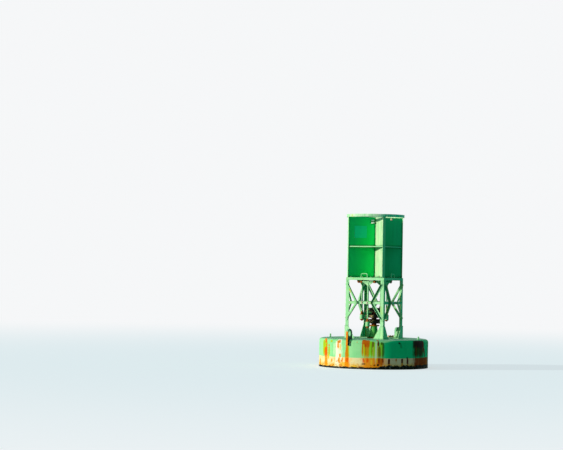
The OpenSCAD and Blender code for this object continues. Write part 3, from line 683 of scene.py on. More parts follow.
# Stains on the hull side: angle, width, top, foot, tint, strength, lean and spread.
# Angles run in degrees from the right towards the back; widths are in degrees, lean in degrees a metre.
# Lean and spread are left out where both are 0.
hullRuns = [
    # Left side
    (211.0, 3.0, 0.29, 0.05, "ochre", 0.8, 0.0, 0.2),
    (222.0, 5.0, 0.20, 0.02, "orange", 0.8, 0.0, 0.2),
    (236.2, 11.0, 0.67, 0.28, "sap", 1.0, 0.0, 0.1),
    (234.8, 3.6, 0.735, 0.67, "orange", 1.0),
    (237.8, 3.4, 0.70, 0.60, "ember", 1.0),
    (239.6, 2.4, 0.60, 0.46, "ochre", 0.9, 0.0, 0.3),
    (237.8, 6.4, 0.50, 0.25, "ember", 1.0, 0.0, 0.1),
    (238.2, 6.0, 0.28, 0.03, "orange", 1.0, 0.0, 0.2),
    (242.6, 3.6, 0.34, 0.20, "amber", 0.9),
    (244.0, 2.6, 0.585, 0.51, "ochre", 1.0),
    (244.0, 3.0, 0.54, 0.28, "sap", 1.0, 0.0, 0.3),
    (248.0, 3.6, 0.685, 0.63, "sap", 1.0),
    (248.7, 2.2, 0.23, 0.14, "orange", 1.0),
    (252.0, 1.6, 0.62, 0.30, "chalk", 0.5, 0.0, 0.3),
    (258.5, 9.5, 0.66, 0.02, "chalk", 0.85, 0.0, 0.1),
    (256.0, 3.0, 0.62, 0.28, "chalk", 1.0),
    (259.4, 6.2, 0.715, 0.60, "chalk", 1.0),
    (259.0, 5.2, 0.69, 0.615, "ochre", 1.0),
    (257.8, 2.4, 0.63, 0.48, "orange", 1.0),
    (260.6, 2.6, 0.60, 0.44, "amber", 0.7),
    (260.4, 2.8, 0.37, 0.26, "orange", 1.0),
    (259.4, 3.4, 0.26, 0.14, "amber", 0.9),
    (263.6, 2.8, 0.26, 0.15, "orange", 0.9, -12.0, 0.0),
    (263.4, 9.0, 0.16, 0.05, "amber", 0.9),
    # Below the front lifting eye
    (269.3, 4.0, 0.66, 0.22, "sap", 1.0, 0.0, 0.2),
    (268.8, 3.2, 0.64, -0.30, "ochre", 1.0, 0.0, 0.6),
    (269.2, 6.4, 0.285, -0.20, "orange", 1.0),
    (269.2, 3.2, 0.27, 0.16, "ember", 1.0),
    (272.8, 1.2, 0.67, 0.625, "brick", 0.8),
    # Broad stain on the front
    (280.2, 1.2, 0.672, 0.64, "ochre", 0.7),
    (297.0, 23.0, 0.283, -0.10, "orange", 1.0),
    (288.6, 7.0, 0.69, 0.275, "olive", 1.0),
    (294.2, 5.4, 0.69, 0.275, "lime", 1.0),
    (291.2, 3.4, 0.69, 0.275, "ochre", 0.75),
    (287.3, 4.2, 0.735, 0.60, "brick", 1.0),
    (290.8, 6.2, 0.71, 0.53, "brick", 1.0),
    (285.9, 1.3, 0.68, 0.33, "brick", 0.8),
    (289.3, 1.2, 0.62, 0.30, "sienna", 0.6),
    (295.8, 1.0, 0.66, 0.34, "tobacco", 0.9),
    (296.8, 2.6, 0.68, 0.52, "tobacco", 1.0),
    (297.4, 2.2, 0.56, 0.275, "olive", 0.9, 0.0, 0.1),
    (298.6, 1.8, 0.68, 0.275, "lime", 0.9),
    (299.9, 2.0, 0.68, 0.16, "chalk", 0.5),
    (301.4, 1.5, 0.66, 0.275, "olive", 0.8),
    (305.3, 4.6, 0.66, 0.275, "lime", 0.9, 0.0, 0.1),
    (301.4, 2.4, 0.74, 0.69, "brick", 0.9),
    (302.2, 1.8, 0.70, 0.56, "maroon", 1.0, 2.0, 0.0),
    (303.2, 2.8, 0.57, 0.26, "tobacco", 1.0, 2.0, 0.2),
    (305.8, 1.8, 0.672, 0.60, "moss", 0.9),
    (307.3, 2.2, 0.66, 0.275, "moss", 0.8, 0.0, 0.1),
    (287.2, 2.2, 0.275, 0.15, "ember", 1.0),
    (291.2, 2.2, 0.275, 0.16, "ember", 1.0),
    (295.4, 2.2, 0.24, 0.10, "amber", 1.0),
    (300.4, 1.6, 0.27, 0.17, "amber", 0.9),
    (304.6, 6.4, 0.283, 0.08, "brick", 1.0),
    (303.0, 2.0, 0.28, 0.15, "sienna", 0.9),
    (307.2, 1.8, 0.278, 0.16, "sienna", 1.0),
    (287.3, 4.2, 0.15, 0.11, "soot", 0.7),
    (298.7, 1.8, 0.13, 0.085, "soot", 0.8),
    (302.0, 2.2, 0.135, 0.08, "soot", 1.0),
    # Right of the near leg
    (313.6, 2.6, 0.268, 0.11, "maroon", 1.0),
    (313.9, 2.6, 0.14, 0.04, "ochre", 0.9),
    (321.4, 2.0, 0.275, 0.20, "brick", 0.9),
    (328.4, 2.8, 0.273, 0.14, "maroon", 1.0),
    (328.5, 2.8, 0.17, 0.06, "ochre", 0.9),
    (334.5, 2.0, 0.31, 0.25, "soot", 1.0),
    (335.0, 2.8, 0.268, 0.11, "maroon", 1.0),
    (335.1, 2.2, 0.14, 0.05, "ochre", 0.8),
    (324.7, 2.6, 0.672, 0.62, "soot", 1.0),
    (325.6, 2.4, 0.65, 0.52, "moss", 0.45, 14.0, 0.2),
    # Dark stain at the right end
    (360.0, 36.0, 0.282, -0.20, "sienna", 1.0),
    (372.0, 10.0, 0.24, 0.10, "brick", 0.5),
    (352.6, 20.0, 0.70, 0.275, "moss", 1.0),
    (352.6, 21.0, 0.705, 0.52, "soot", 1.0),
    (345.6, 2.0, 0.66, 0.30, "soot", 0.7),
    (350.6, 1.8, 0.56, 0.28, "soot", 0.8),
    (357.6, 2.2, 0.60, 0.28, "soot", 0.8),
    (347.2, 3.0, 0.60, 0.275, "maroon", 0.6),
    (354.6, 3.4, 0.60, 0.275, "soot", 0.8),
    (360.6, 3.4, 0.68, 0.40, "maroon", 1.0, 4.0, 0.0),
    (363.6, 3.4, 0.52, 0.275, "maroon", 0.8, 8.0, 0.0),
    # Right side and back
    (23.0, 9.0, 0.66, 0.10, "moss", 0.9, 0.0, 0.1),
    (24.5, 3.0, 0.69, 0.45, "sienna", 1.0),
    (38.0, 3.0, 0.60, 0.22, "moss", 0.7, 0.0, 0.3),
    (52.0, 4.0, 0.66, 0.20, "tobacco", 0.9, 0.0, 0.2),
    (52.5, 2.4, 0.68, 0.60, "brick", 1.0),
    (66.0, 14.0, 0.282, -0.10, "sienna", 0.9, 0.0, 0.1),
    (77.0, 2.2, 0.62, 0.25, "olive", 0.7, 0.0, 0.3),
    (90.6, 4.6, 0.64, -0.30, "ochre", 1.0, 0.0, 0.4),
    (90.2, 4.0, 0.29, -0.20, "ember", 1.0),
    (104.0, 6.0, 0.65, 0.12, "chalk", 0.7, 0.0, 0.1),
    (104.5, 3.4, 0.67, 0.40, "orange", 1.0),
    (118.0, 14.0, 0.67, 0.275, "olive", 1.0),
    (116.0, 4.0, 0.71, 0.62, "brick", 1.0),
    (121.0, 2.6, 0.66, 0.35, "brick", 1.0),
    (120.0, 22.0, 0.282, -0.10, "orange", 1.0),
    (139.0, 2.4, 0.27, 0.12, "maroon", 1.0),
    (147.0, 3.4, 0.62, 0.05, "ochre", 0.9, 0.0, 0.4),
    (158.0, 2.0, 0.29, 0.14, "brick", 1.0),
    (171.0, 7.0, 0.66, 0.10, "sap", 0.9, 0.0, 0.1),
    (172.0, 2.8, 0.68, 0.30, "ember", 1.0),
    (186.0, 2.0, 0.58, 0.30, "ochre", 0.8, 0.0, 0.3),
    (196.0, 14.0, 0.28, -0.10, "orange", 0.8, 0.0, 0.1),
    (204.0, 4.0, 0.66, 0.15, "olive", 1.0, 0.0, 0.3),
    (204.4, 2.6, 0.68, 0.60, "brick", 1.0),
]


# The hull skin is cut into sectors, so that each material holds only the stains it shows
hullSectors = [205, 244, 258, 274, 293, 301, 312, 345, 375, 440, 505]


# The stains that reach into a sector, with 2 degrees to spare
def runsBetween(start, end):
    chosen = []
    middle = (start + end) / 2
    for run in hullRuns:
        angle, width, top, foot, tint, strength, lean, spread = (*run, 0.0, 0.0)[:8]
        reach = width * (0.5 + abs(spread) * 0.6) + abs(lean) * (top - foot) + 2
        away = abs((angle - middle + 180) % 360 - 180)
        if away < (end - start) / 2 + reach:
            chosen.append((angle, width, top, foot, tint, strength, lean, spread))
    return chosen


# The hull's paint, boot stripe, stains, pits and weed, in the order in which they lie
def makeHullSkin(name, settings, runs):
    material, tree, shader, place = startMaterial(name)
    x, y, z = parted(tree, place)
    turn = calc(tree, "DEGREES", calc(tree, "ARCTAN2", y, x))
    reach = planReach(tree, x, y)
    climb = plus(tree, z, ramp(tree, reach, hullRadius - 0.11, hullRadius - 0.30, 0.0, 0.3, False))
    ragged = streaks(tree, place, 22, 7, 5, 0.65)
    grain = streaks(tree, place, 60, 1.5, 4)
    paint = useGroup(tree, chalkyPaint, Place=place, Paint=settings["paint"], Faded=settings["faded"],
                     Fade=settings["fade"], Grime=settings["grime"], Dirt=settings["dirt"], Size=0.8)
    # Painted shade: the side turned from the key light takes the shade tint, with a sharp edge
    sunShaded = useGroup(tree, paintedSunShade, Color=paint["Color"], Deep=settings["shadeTint"],
                    Low=settings["sunLow"], High=settings["sunHigh"])
    onDeck = ramp(tree, z, deckHeight - 0.012, deckHeight - 0.001)
    worn = ramp(tree, mottle(tree, place, 6, 6, 0.65), 0.38, 0.62, 0.35, 0.9)
    color = mixColor(tree, times(tree, onDeck, worn), sunShaded["Color"], settings["deck"])
    wander = times(tree, minus(tree, ragged, 0.5), 0.014)
    level = plus(tree, z, wander)
    bootLine = ramp(tree, level, settings["bootTop"] + 0.003, settings["bootTop"] - 0.003)
    stains = streaks(tree, place, 9, 4, 7, 0.7)  # tea-coloured clouds on the boot stripe
    boot = mixColor(tree, ramp(tree, stains, 0.46, 0.7, 0.0, 0.85), settings["boot"], settings["bootStain"])
    lime = ramp(tree, mottle(tree, place, 50, 4, 0.7), 0.45, 0.75, 0.0, 0.45)
    boot = mixColor(tree, lime, boot, stainTints["chalk"])
    splash = times(tree, ramp(tree, level, 0.17, 0.06), ramp(tree, stains, 0.3, 0.6, 0.35, 1.0))
    boot = mixColor(tree, splash, boot, stainTints["amber"])
    # The boot stripe gets the same painted shade
    boot = useGroup(tree, paintedSunShade, Color=boot, Deep=settings["bootDeep"],
                    Low=settings["sunLow"], High=settings["sunHigh"])
    color = mixColor(tree, bootLine, color, boot["Color"])
    for angle, width, top, foot, tint, strength, lean, spread in runs:
        run = useGroup(tree, rustRun, Turn=turn, Height=climb, Ragged=ragged, Grain=grain, Angle=angle,
                       Width=width, Top=top, Foot=foot, Lean=lean, Spread=spread)
        color = mixColor(tree, times(tree, run["Mask"], strength), color, stainTints[tint])
    channels = tree.nodes.new("ShaderNodeSeparateColor")
    feed(tree, color, channels.inputs[0])
    rusted = ramp(tree, minus(tree, channels.outputs[0], channels.outputs[1]), 0.02, 0.3)
    bloom = useGroup(tree, rustBloom, Place=place, Lead=ramp(tree, z, 0.3, 0.05, 0.0, 0.3),
                     Amount=settings["rust"], Size=0.9, Core=rustCore, Halo=rustOrange)
    pitted = times(tree, bloom["Mask"], ramp(tree, z, deckHeight - 0.03, deckHeight, 1.0, 0.6))
    color = mixColor(tree, pitted, color, bloom["Color"])
    pits = ramp(tree, streaks(tree, place, 26, 44, 5, 0.7), 0.57, 0.62)
    pits = times(tree, pits, ramp(tree, level, 0.19, 0.05))
    color = mixColor(tree, pits, color, settings["pit"])
    weedNoise = streaks(tree, place, 10, 14, 6, 0.7)
    climbing, falling = settings["riseFrom"], settings["riseTo"]
    risen = times(tree, ramp(tree, turn, *climbing), ramp(tree, turn, falling[1], falling[0]))
    edge = scaled(tree, risen, settings["weedRise"], settings["weedTop"])
    uneven = scaled(tree, risen, 0.12, 0.08)
    edge = plus(tree, edge, times(tree, minus(tree, weedNoise, 0.5), uneven))
    weedy = ramp(tree, minus(tree, z, edge), 0.005, -0.005)
    shells = ramp(tree, streaks(tree, place, 22, 40, 4, 0.65), 0.55, 0.68, 0.0, 0.9)
    weed = mixColor(tree, shells, settings["weed"], settings["shell"])
    color = mixColor(tree, weedy, color, weed)
    feed(tree, color, shader.inputs["Base Color"])
    rough = scaled(tree, rusted, 0.2, paint["Roughness"], clamp=True)
    feed(tree, rough, shader.inputs["Roughness"])
    shader.inputs["Specular IOR Level"].default_value = settings["specular"]
    away = calc(tree, "ABSOLUTE", minus(tree, z, seamHeight))
    seam = ramp(tree, scaled(tree, minus(tree, ragged, 0.5), 0.006, away), 0.006, 0.001)
    dents = mottle(tree, place, 1.7, 2, 0.4)
    relief = scaled(tree, dents, 9.0, paint["Height"])
    relief = scaled(tree, seam, 2.2, relief)
    relief = scaled(tree, grain, 0.5, relief)
    relief = scaled(tree, bloom["Height"], 1.0, relief)
    relief = scaled(tree, times(tree, weedy, weedNoise), 9.0, relief)
    addBump(tree, shader, relief, settings["bump"])
    return material


hullSkins = []
for number, (start, end) in enumerate(zip(hullSectors, hullSectors[1:] + [hullSectors[0] + 360])):
    runs = runsBetween(start, end)
    hullSkins.append(makeHullSkin("hullSkin%d" % number, hullLook, runs))
    print("hull sector", start, end, "has", len(runs), "stains")

eyeLook = {
    "paint": (0.22, 0.66, 0.30, 1),
    # The sides colour is painted shade on the flanks; the soot colour is the paint's grime and also painted
    # shade at the flanks' foot
    "sides": (0.014, 0.10, 0.045, 1),
    "soot": (0.006, 0.02, 0.012, 1),
    "rim": (0.98, 0.27, 0.004, 1),
    "rimDark": (0.62, 0.08, 0.004, 1),
    "halfThick": 0.025,
}


# The lifting eyes carry painted shade on their flanks, darkest near the deck, are bare at the hole and
# bright with rust along the outer edge
def makeEyePaint(settings):
    material, tree, shader, place = startMaterial("eyePaint")
    x, y, z = parted(tree, place)
    paint = useGroup(tree, chalkyPaint, Place=place, Paint=settings["paint"], Faded=towerLook["faded"],
                     Fade=0.6, Grime=settings["soot"], Dirt=0.5, Size=3.0)
    face = settings["halfThick"]
    flank = ramp(tree, calc(tree, "ABSOLUTE", x), face - 0.004, face - 0.001)
    # Painted shade on the flanks, darker still near the deck
    color = mixColor(tree, times(tree, flank, 0.92), paint["Color"], settings["sides"])
    flankFootShade = times(tree, ramp(tree, z, deckHeight + 0.06, deckHeight - 0.03), flank)
    color = mixColor(tree, flankFootShade, color, settings["soot"])
    reach = calc(tree, "ABSOLUTE", y)
    patches = mottle(tree, place, 20, 6, 0.65)
    ragged = scaled(tree, minus(tree, patches, 0.5), 0.05, reach)
    rim = ramp(tree, ragged, hullRadius + 0.042, hullRadius + 0.056)
    scabs = mottle(tree, place, 55, 5, 0.7)
    scabs = scaled(tree, minus(tree, scabs, 0.5), 0.6, patches)
    rust = mixColor(tree, ramp(tree, scabs, 0.48, 0.62), settings["rim"], settings["rimDark"])
    front = ramp(tree, y, -0.5, -1.0, 0.35, 1.0)
    color = mixColor(tree, times(tree, rim, front), color, rust)
    bloom = useGroup(tree, rustBloom, Place=place, Lead=0.0, Amount=0.42, Size=2.0, Core=rustCore,
                     Halo=rustOrange)
    color = mixColor(tree, bloom["Mask"], color, bloom["Color"])
    feed(tree, color, shader.inputs["Base Color"])
    feed(tree, paint["Roughness"], shader.inputs["Roughness"])
    shader.inputs["Specular IOR Level"].default_value = 0.05
    addBump(tree, shader, plus(tree, paint["Height"], plus(tree, bloom["Height"], patches)), 0.003)
    return material


eyePaint = makeEyePaint(eyeLook)
print("materials made")

# Which finish each frame node wears; nodes that aren't named here wear the tower paint
finishes = {
    "hull": hullSkins[0], "tail_tube": fouledSteel, "counterweight": castIron, "weight_retainer": rustyIron,
    "lifting_eye_front": eyePaint, "lifting_eye_back": eyePaint, "mooring_eye_left": fouledSteel,
    "mooring_eye_right": fouledSteel, "deck_cover": coverRust, "tapper_stops": stopRubber,
    "reflector_floor": reflectorPaint, "reflector_plate_long": longPlatePaint,
    "reflector_plate_front": sunlitPlatePaint, "reflector_plate_back": reflectorPaint,
    "corner_posts": postPaint, "foot_gussets": gussetPaint, "top_hoop": hoopPaint,
    "knees_front": bracePaint, "knees_right": bracePaint, "knees_back": bracePaint,
    "knees_left": bracePaint, "reflector_panel": tealPanel, "bearing_lugs": rustyIron,
    "pivot_pins": rustyIron, "gong_pedestal": pedestalPaint, "gong_spindle": rustyIron,
    "gong_spacers": rustyIron, "gong_low": bronze, "gong_middle": bronze, "gong_high": bronze,
}
roundNodes = ("hull", "tail_tube", "handles", "gong_low", "gong_middle", "gong_high", "pivot_pins",
              "deck_plugs")


# Each tapper rusts at its neck and at both ends of its head
def tapperFinish(name):
    low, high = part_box(name)
    look = dict(tapperLook)
    if name.startswith("tapper_head"):
        look["bands"] = ((low.z + 0.008, 0.028), (high.z - 0.006, 0.03))
        look["rust"] = 0.52
    else:
        look["bands"] = ((low.z, 0.10),)
    return paintedSteel(name + "_paint", look)


edgeRound = {"weld": 0.00002, "width": 0.0018, "segments": 2, "angle": 35}


# Gives every frame node its finish, and a fine rounding to those with sharp edges
def dressNodes(rounding):
    for name, part in nodes.items():
        moving = name.startswith(("tapper_arm", "tapper_head"))
        finish = tapperFinish(name) if moving else finishes.get(name, towerPaint)
        part.data.materials.clear()
        part.data.materials.append(finish)
        if name not in roundNodes:
            weld = part.modifiers.new("weld", "WELD")
            weld.merge_threshold = rounding["weld"]
            bevel = part.modifiers.new("bevel", "BEVEL")
            bevel.width = rounding["width"]
            bevel.segments = rounding["segments"]
            bevel.limit_method = "ANGLE"
            bevel.angle_limit = math.radians(rounding["angle"])
            bevel.harden_normals = True


dressNodes(edgeRound)
print("frame nodes dressed")

up = Vector((0, 0, 1))
down = Vector((0, 0, -1))


def newObject(name, work):
    mesh = bpy.data.meshes.new(name)
    work.to_mesh(mesh)
    work.free()
    thing = bpy.data.objects.new(name, mesh)
    scene.collection.objects.link(thing)
    return thing


# Makes the mesh work a piece, with its finish and the body that it rides on
def finishMesh(name, work, material, body="buoy", smooth=True):
    piece = newObject(name, work)
    for face in piece.data.polygons:
        face.use_smooth = smooth
    piece.data.materials.append(material)
    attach(piece, body)
    return piece


# A point or direction carried round to another side of the tower
def turned(point, quarter):
    x, y, z = point
    for _ in range(quarter):
        x, y = -y, x
    return Vector((x, y, z))


# A point on level ground at some angle, raised if need be
def compass(turn, reach=1.0, z=0.0):
    return Vector((reach * math.cos(turn), reach * math.sin(turn), z))


def upBy(z):
    return Vector((0, 0, z))


# Directions out through a corner post and square to it
def diagonal(quarter):
    out = compass(math.radians(45 + 90 * quarter))
    return out, Vector((-out.y, out.x, 0))


hullShape = {
    "deckRings": (0.25, 0.5, 0.75, 0.95, 1.1, 1.2),
    "shoulder": 0.075,
    "shoulderSteps": 12,
    "sideEnd": -0.35,
    "chine": 0.06,
    "coneEnd": -0.75,
    "coneFlat": 0.32,
    "coneSteps": 8,
    "footRing": 0.15,
    "segments": 300,
    "ringStep": 0.022,
    "dent": 0.0035,
    "dentSize": 2.3,
    "dentTall": 1.6,
    "seamDepth": 0.0016,
    "seamClear": 0.008,
    "seamLines": (0.006, 0.002, -0.002, -0.006),
}


# The hull's outline as radius and height, from the deck down to the foot of the cone
def hullProfile(shape):
    corner, chine = shape["shoulder"], shape["chine"]
    high = deckHeight - corner
    points = [(ring, deckHeight) for ring in shape["deckRings"]]
    for i in range(shape["shoulderSteps"] + 1):
        turn = math.radians(90 - 90 * i / shape["shoulderSteps"])
        points.append((hullRadius - corner + corner * math.cos(turn), high + corner * math.sin(turn)))
    slope = math.atan2(shape["sideEnd"] - shape["coneEnd"], hullRadius - shape["coneFlat"])
    low = shape["sideEnd"] + chine * math.tan((math.pi / 2 - slope) / 2)
    steps = round((high - low) / shape["ringStep"])
    levels = [high + (low - high) * i / steps for i in range(1, steps + 1)]
    levels = [z for z in levels if abs(z - seamHeight) > shape["seamClear"]]
    levels += [seamHeight + offset for offset in shape["seamLines"]]
    for z in sorted(levels, reverse=True):
        sunk = shape["seamDepth"] if abs(z - seamHeight) < shape["seamLines"][0] / 2 else 0
        points.append((hullRadius - sunk, z))
    steps = shape["coneSteps"]
    for i in range(1, steps + 1):
        turn = (math.pi / 2 - slope) * i / steps
        points.append((hullRadius - chine + chine * math.cos(turn), low - chine * math.sin(turn)))
    r, z = points[-1]
    for i in range(1, steps + 1):
        points.append((r + (shape["coneFlat"] - r) * i / steps, z + (shape["coneEnd"] - z) * i / steps))
    points.append((shape["footRing"], shape["coneEnd"]))
    return points


# How far the plating is pushed in at a place on the hull side
def dentDepth(shape, x, y, z):
    low = shape["sideEnd"] + 0.05
    high = deckHeight - shape["shoulder"] - 0.04
    if not low < z < high:
        return 0.0
    soft = min(1.0, (z - low) / 0.1, (high - z) / 0.1)
    spot = Vector((x * shape["dentSize"], y * shape["dentSize"], z * shape["dentTall"]))
    return shape["dent"] * soft * max(0.0, noise.noise(spot) + 0.1)


def buildHullShell(shape):
    work = bmesh.new()
    count = shape["segments"]
    rings = []
    for radius, z in hullProfile(shape):
        ring = []
        for i in range(count):
            x, y, _ = compass(math.tau * i / count)
            depth = dentDepth(shape, x, y, z) if radius > hullRadius - 0.0001 else 0.0
            ring.append(work.verts.new(((radius - depth) * x, (radius - depth) * y, z)))
        rings.append(ring)
    for upper, lower in zip(rings, rings[1:]):
        for i in range(count):
            work.faces.new((upper[i], lower[i], lower[(i + 1) % count], upper[(i + 1) % count]))
    for ring, flip in ((rings[0], False), (rings[-1], True)):
        centre = work.verts.new((0, 0, ring[0].co.z))
        for i in range(count):
            corners = (centre, ring[i], ring[(i + 1) % count])
            work.faces.new(tuple(reversed(corners)) if flip else corners)
    for face in work.faces:
        middle = face.calc_center_median()
        turn = math.degrees(math.atan2(middle.y, middle.x)) % 360
        if turn < hullSectors[0]:
            turn += 360
        face.material_index = sum(turn >= start for start in hullSectors[1:])
    shell = finishMesh("hull_shell", work, hullSkins[0])
    for skin in hullSkins[1:]:
        shell.data.materials.append(skin)
    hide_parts("hull")


buildHullShell(hullShape)
print("hull shell built")


# Rings of points joined into a closed skin
def skinRings(work, rings, closed=False):
    stack = [[work.verts.new(point) for point in ring] for ring in rings]
    count = len(stack[0])
    pairs = list(zip(stack, stack[1:]))
    if closed:
        pairs.append((stack[-1], stack[0]))
    for low, high in pairs:
        for i in range(count):
            work.faces.new((low[i], low[(i + 1) % count], high[(i + 1) % count], high[i]))
    if not closed:
        work.faces.new(list(reversed(stack[0])))
        work.faces.new(stack[-1])


# Solid turned about an axis: (level, radius) pairs from the foot up
def addTurned(work, place, normal, profile, sides=28, spin=0.0):
    grip = Vector(normal).normalized().to_track_quat("Z", "Y").to_matrix().to_4x4()
    spot = Matrix.Translation(place) @ grip @ Matrix.Rotation(spin, 4, "Z")
    skinRings(work, [[spot @ compass(math.tau * i / sides, radius, level) for i in range(sides)]
                     for level, radius in profile])


# Tube along a path, with a radius at each point
def addTube(work, path, radii, sides=6, closed=False):
    rings = []
    count = len(path)
    for i, point in enumerate(path):
        before = path[i - 1] if i or closed else point
        after = path[(i + 1) % count] if i < count - 1 or closed else point
        along = (Vector(after) - Vector(before)).normalized()
        side = along.cross(up)
        if side.length < 0.1:
            side = along.cross(Vector((1, 0, 0)))
        side.normalize()
        other = along.cross(side)
        turns = [math.tau * k / sides for k in range(sides)]
        rings.append([Vector(point) + (side * math.cos(turn) + other * math.sin(turn)) * radii[i]
                      for turn in turns])
    skinRings(work, rings, closed)


def circlePath(middle, radius, count=60):
    return [Vector(middle) + compass(math.tau * i / count, radius) for i in range(count)]


# A hexagon bolt head and its washer, as shares of the size across the flats
boltHead = {
    "washer": ((0.0, 0.95), (0.1, 0.95), (0.12, 0.9)),
    "head": ((0.1, 1.0), (0.55, 1.0), (0.68, 0.86)),
}


def addBolt(work, place, normal, across, spin=0.0):
    corner = across / math.sqrt(3)
    addTurned(work, place, normal, [(across * z, across * r) for z, r in boltHead["washer"]], 20, spin)
    addTurned(work, place, normal, [(across * z, corner * r) for z, r in boltHead["head"]], 6, spin)


coverLow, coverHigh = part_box("deck_cover")
coverMiddle = (coverLow + coverHigh) / 2
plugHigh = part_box("deck_plugs")[1]
pedestalPlate = 0.016  # thickness of the pedestal's foot

boltShape = {
    "barSize": 0.030, "barSide": 0.077,
    "floorSize": 0.024, "floorPlaces": (-0.42, -0.14, 0.14, 0.42), "floorInset": 0.03,
    "lugSize": 0.024, "lugSide": 0.182, "lugPlaces": (-0.385, -0.315),
    "hoopSize": 0.018, "hoopSide": 0.02, "hoopSink": 0.013, "hoopDrop": 0.052,
}
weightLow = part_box("counterweight")[0]
# Rings of bolts: name, size, count, radius, first angle, middle, direction, finish and slot
boltRings = (
    ("pedestal_bolts", 0.024, 6, 0.15, 30, (0, 0, deckHeight + pedestalPlate), up,
     rustyIron, "rusty_steel"),
    ("cover_bolts", 0.018, 8, 0.07, 0, (coverMiddle.x, coverMiddle.y, coverHigh.z), up,
     coverRust, "rusty_steel"),
    ("weight_bolts", 0.036, 6, 0.25, 0, (0, 0, weightLow.z), down,
     castIron, "cast_weight"),
)


def buildBolts(shape, rings):
    draw = random.Random(4)
    bars, floor, hoop = bmesh.new(), bmesh.new(), bmesh.new()
    for quarter in range(4):
        for side in (-1, 1):
            place = turned((side * shape["barSide"], -towerHalf, barMiddle), quarter)
            addBolt(bars, place, turned((0, -1, 0), quarter), shape["barSize"], draw.random())
    finishMesh("bar_bolts", bars, primerPaint, smooth=False)
    for quarter in range(4):
        for x in shape["floorPlaces"]:
            place = turned((x, shape["floorInset"] - floorHigh.x, floorHigh.z), quarter)
            addBolt(floor, place, up, shape["floorSize"], draw.random())
        for side in (-1, 1):
            for y in shape["lugPlaces"]:
                place = turned((side * shape["lugSide"], y, floorHigh.z), quarter)
                addBolt(floor, place, up, shape["lugSize"], draw.random())
    finishMesh("floor_bolts", floor, towerPaint, smooth=False)
    for quarter in range(4):
        for side in (-1, 1):
            turn = math.radians(45 + 90 * quarter) + side * shape["hoopSide"] / hoopHigh.x
            place = compass(turn, hoopHigh.x - shape["hoopSink"], hoopHigh.z - shape["hoopDrop"])
            addBolt(hoop, place, compass(turn), shape["hoopSize"], draw.random())
    finishMesh("hoop_bolts", hoop, towerPaint, smooth=False)
    for name, across, count, radius, first, middle, normal, finish, slot in rings:
        ring = bmesh.new()
        for i in range(count):
            place = Vector(middle) + compass(math.radians(first + 360 / count * i), radius)
            addBolt(ring, place, normal, across, draw.random())
        finishMesh(name, ring, finish, smooth=False)


buildBolts(boltShape, boltRings)
print("bolts placed")

weldShape = {"size": 0.0055, "pitch": 0.011, "sides": 6, "even": 0.85, "ripple": 0.25, "chance": 0.15}


# Weld bead along a path of corners, rippled as the torch left it
def addBead(work, corners, draw, size=1.0, closed=False):
    corners = [Vector(corner) for corner in corners]
    if closed:
        corners.append(corners[0])
    path = []
    for start, end in zip(corners, corners[1:]):
        steps = max(1, round((end - start).length / weldShape["pitch"]))
        path += [start.lerp(end, i / steps) for i in range(steps)]
    if not closed:
        path.append(corners[-1])
    radii = []
    for i in range(len(path)):
        swell = weldShape["even"] + weldShape["ripple"] * (i % 2) + weldShape["chance"] * draw.random()
        radii.append(weldShape["size"] * size * swell)
    addTube(work, path, radii, weldShape["sides"], closed)


def addStitch(work, place, z, length, draw, size):
    addBead(work, [place + upBy(z), place + upBy(z + length)], draw, size)


legFlange = 0.089  # width of the legs' angle iron
deckWelds = {
    "padReach": 0.265,
    "gussetWidth": 0.25,
    "gussetTop": 1.029,
    "legTop": 1.031,
    "pedestalRings": ((0.0, 0.172), (pedestalPlate, 0.116)),
    "coverRing": 0.091,
    "plugRadius": 0.0215,
    "plugRing": 0.0225,
    "eyeSide": 0.0255,
    "eyeEdge": 0.024,
    "eyeInner": 1.202,
    "eyeFoot": 0.571,
    "proud": 0.0005,
}


# The line where a lifting eye's cheek meets the deck, the shoulder and the hull side
def cheekPath(shape, side, end):
    x = side * shape["eyeSide"]
    shoulder = hullShape["shoulder"]
    bend = shoulder + shape["proud"]
    path = [(x, end * shape["eyeInner"], deckHeight)]
    for degrees in range(0, 91, 9):
        turn = math.radians(degrees)
        path.append((x, end * (hullRadius - shoulder + bend * math.sin(turn)),
                     deckHeight - shoulder + bend * math.cos(turn)))
    path.append((x, end * (hullRadius - 0.0002), shape["eyeFoot"] + 0.002))
    return path


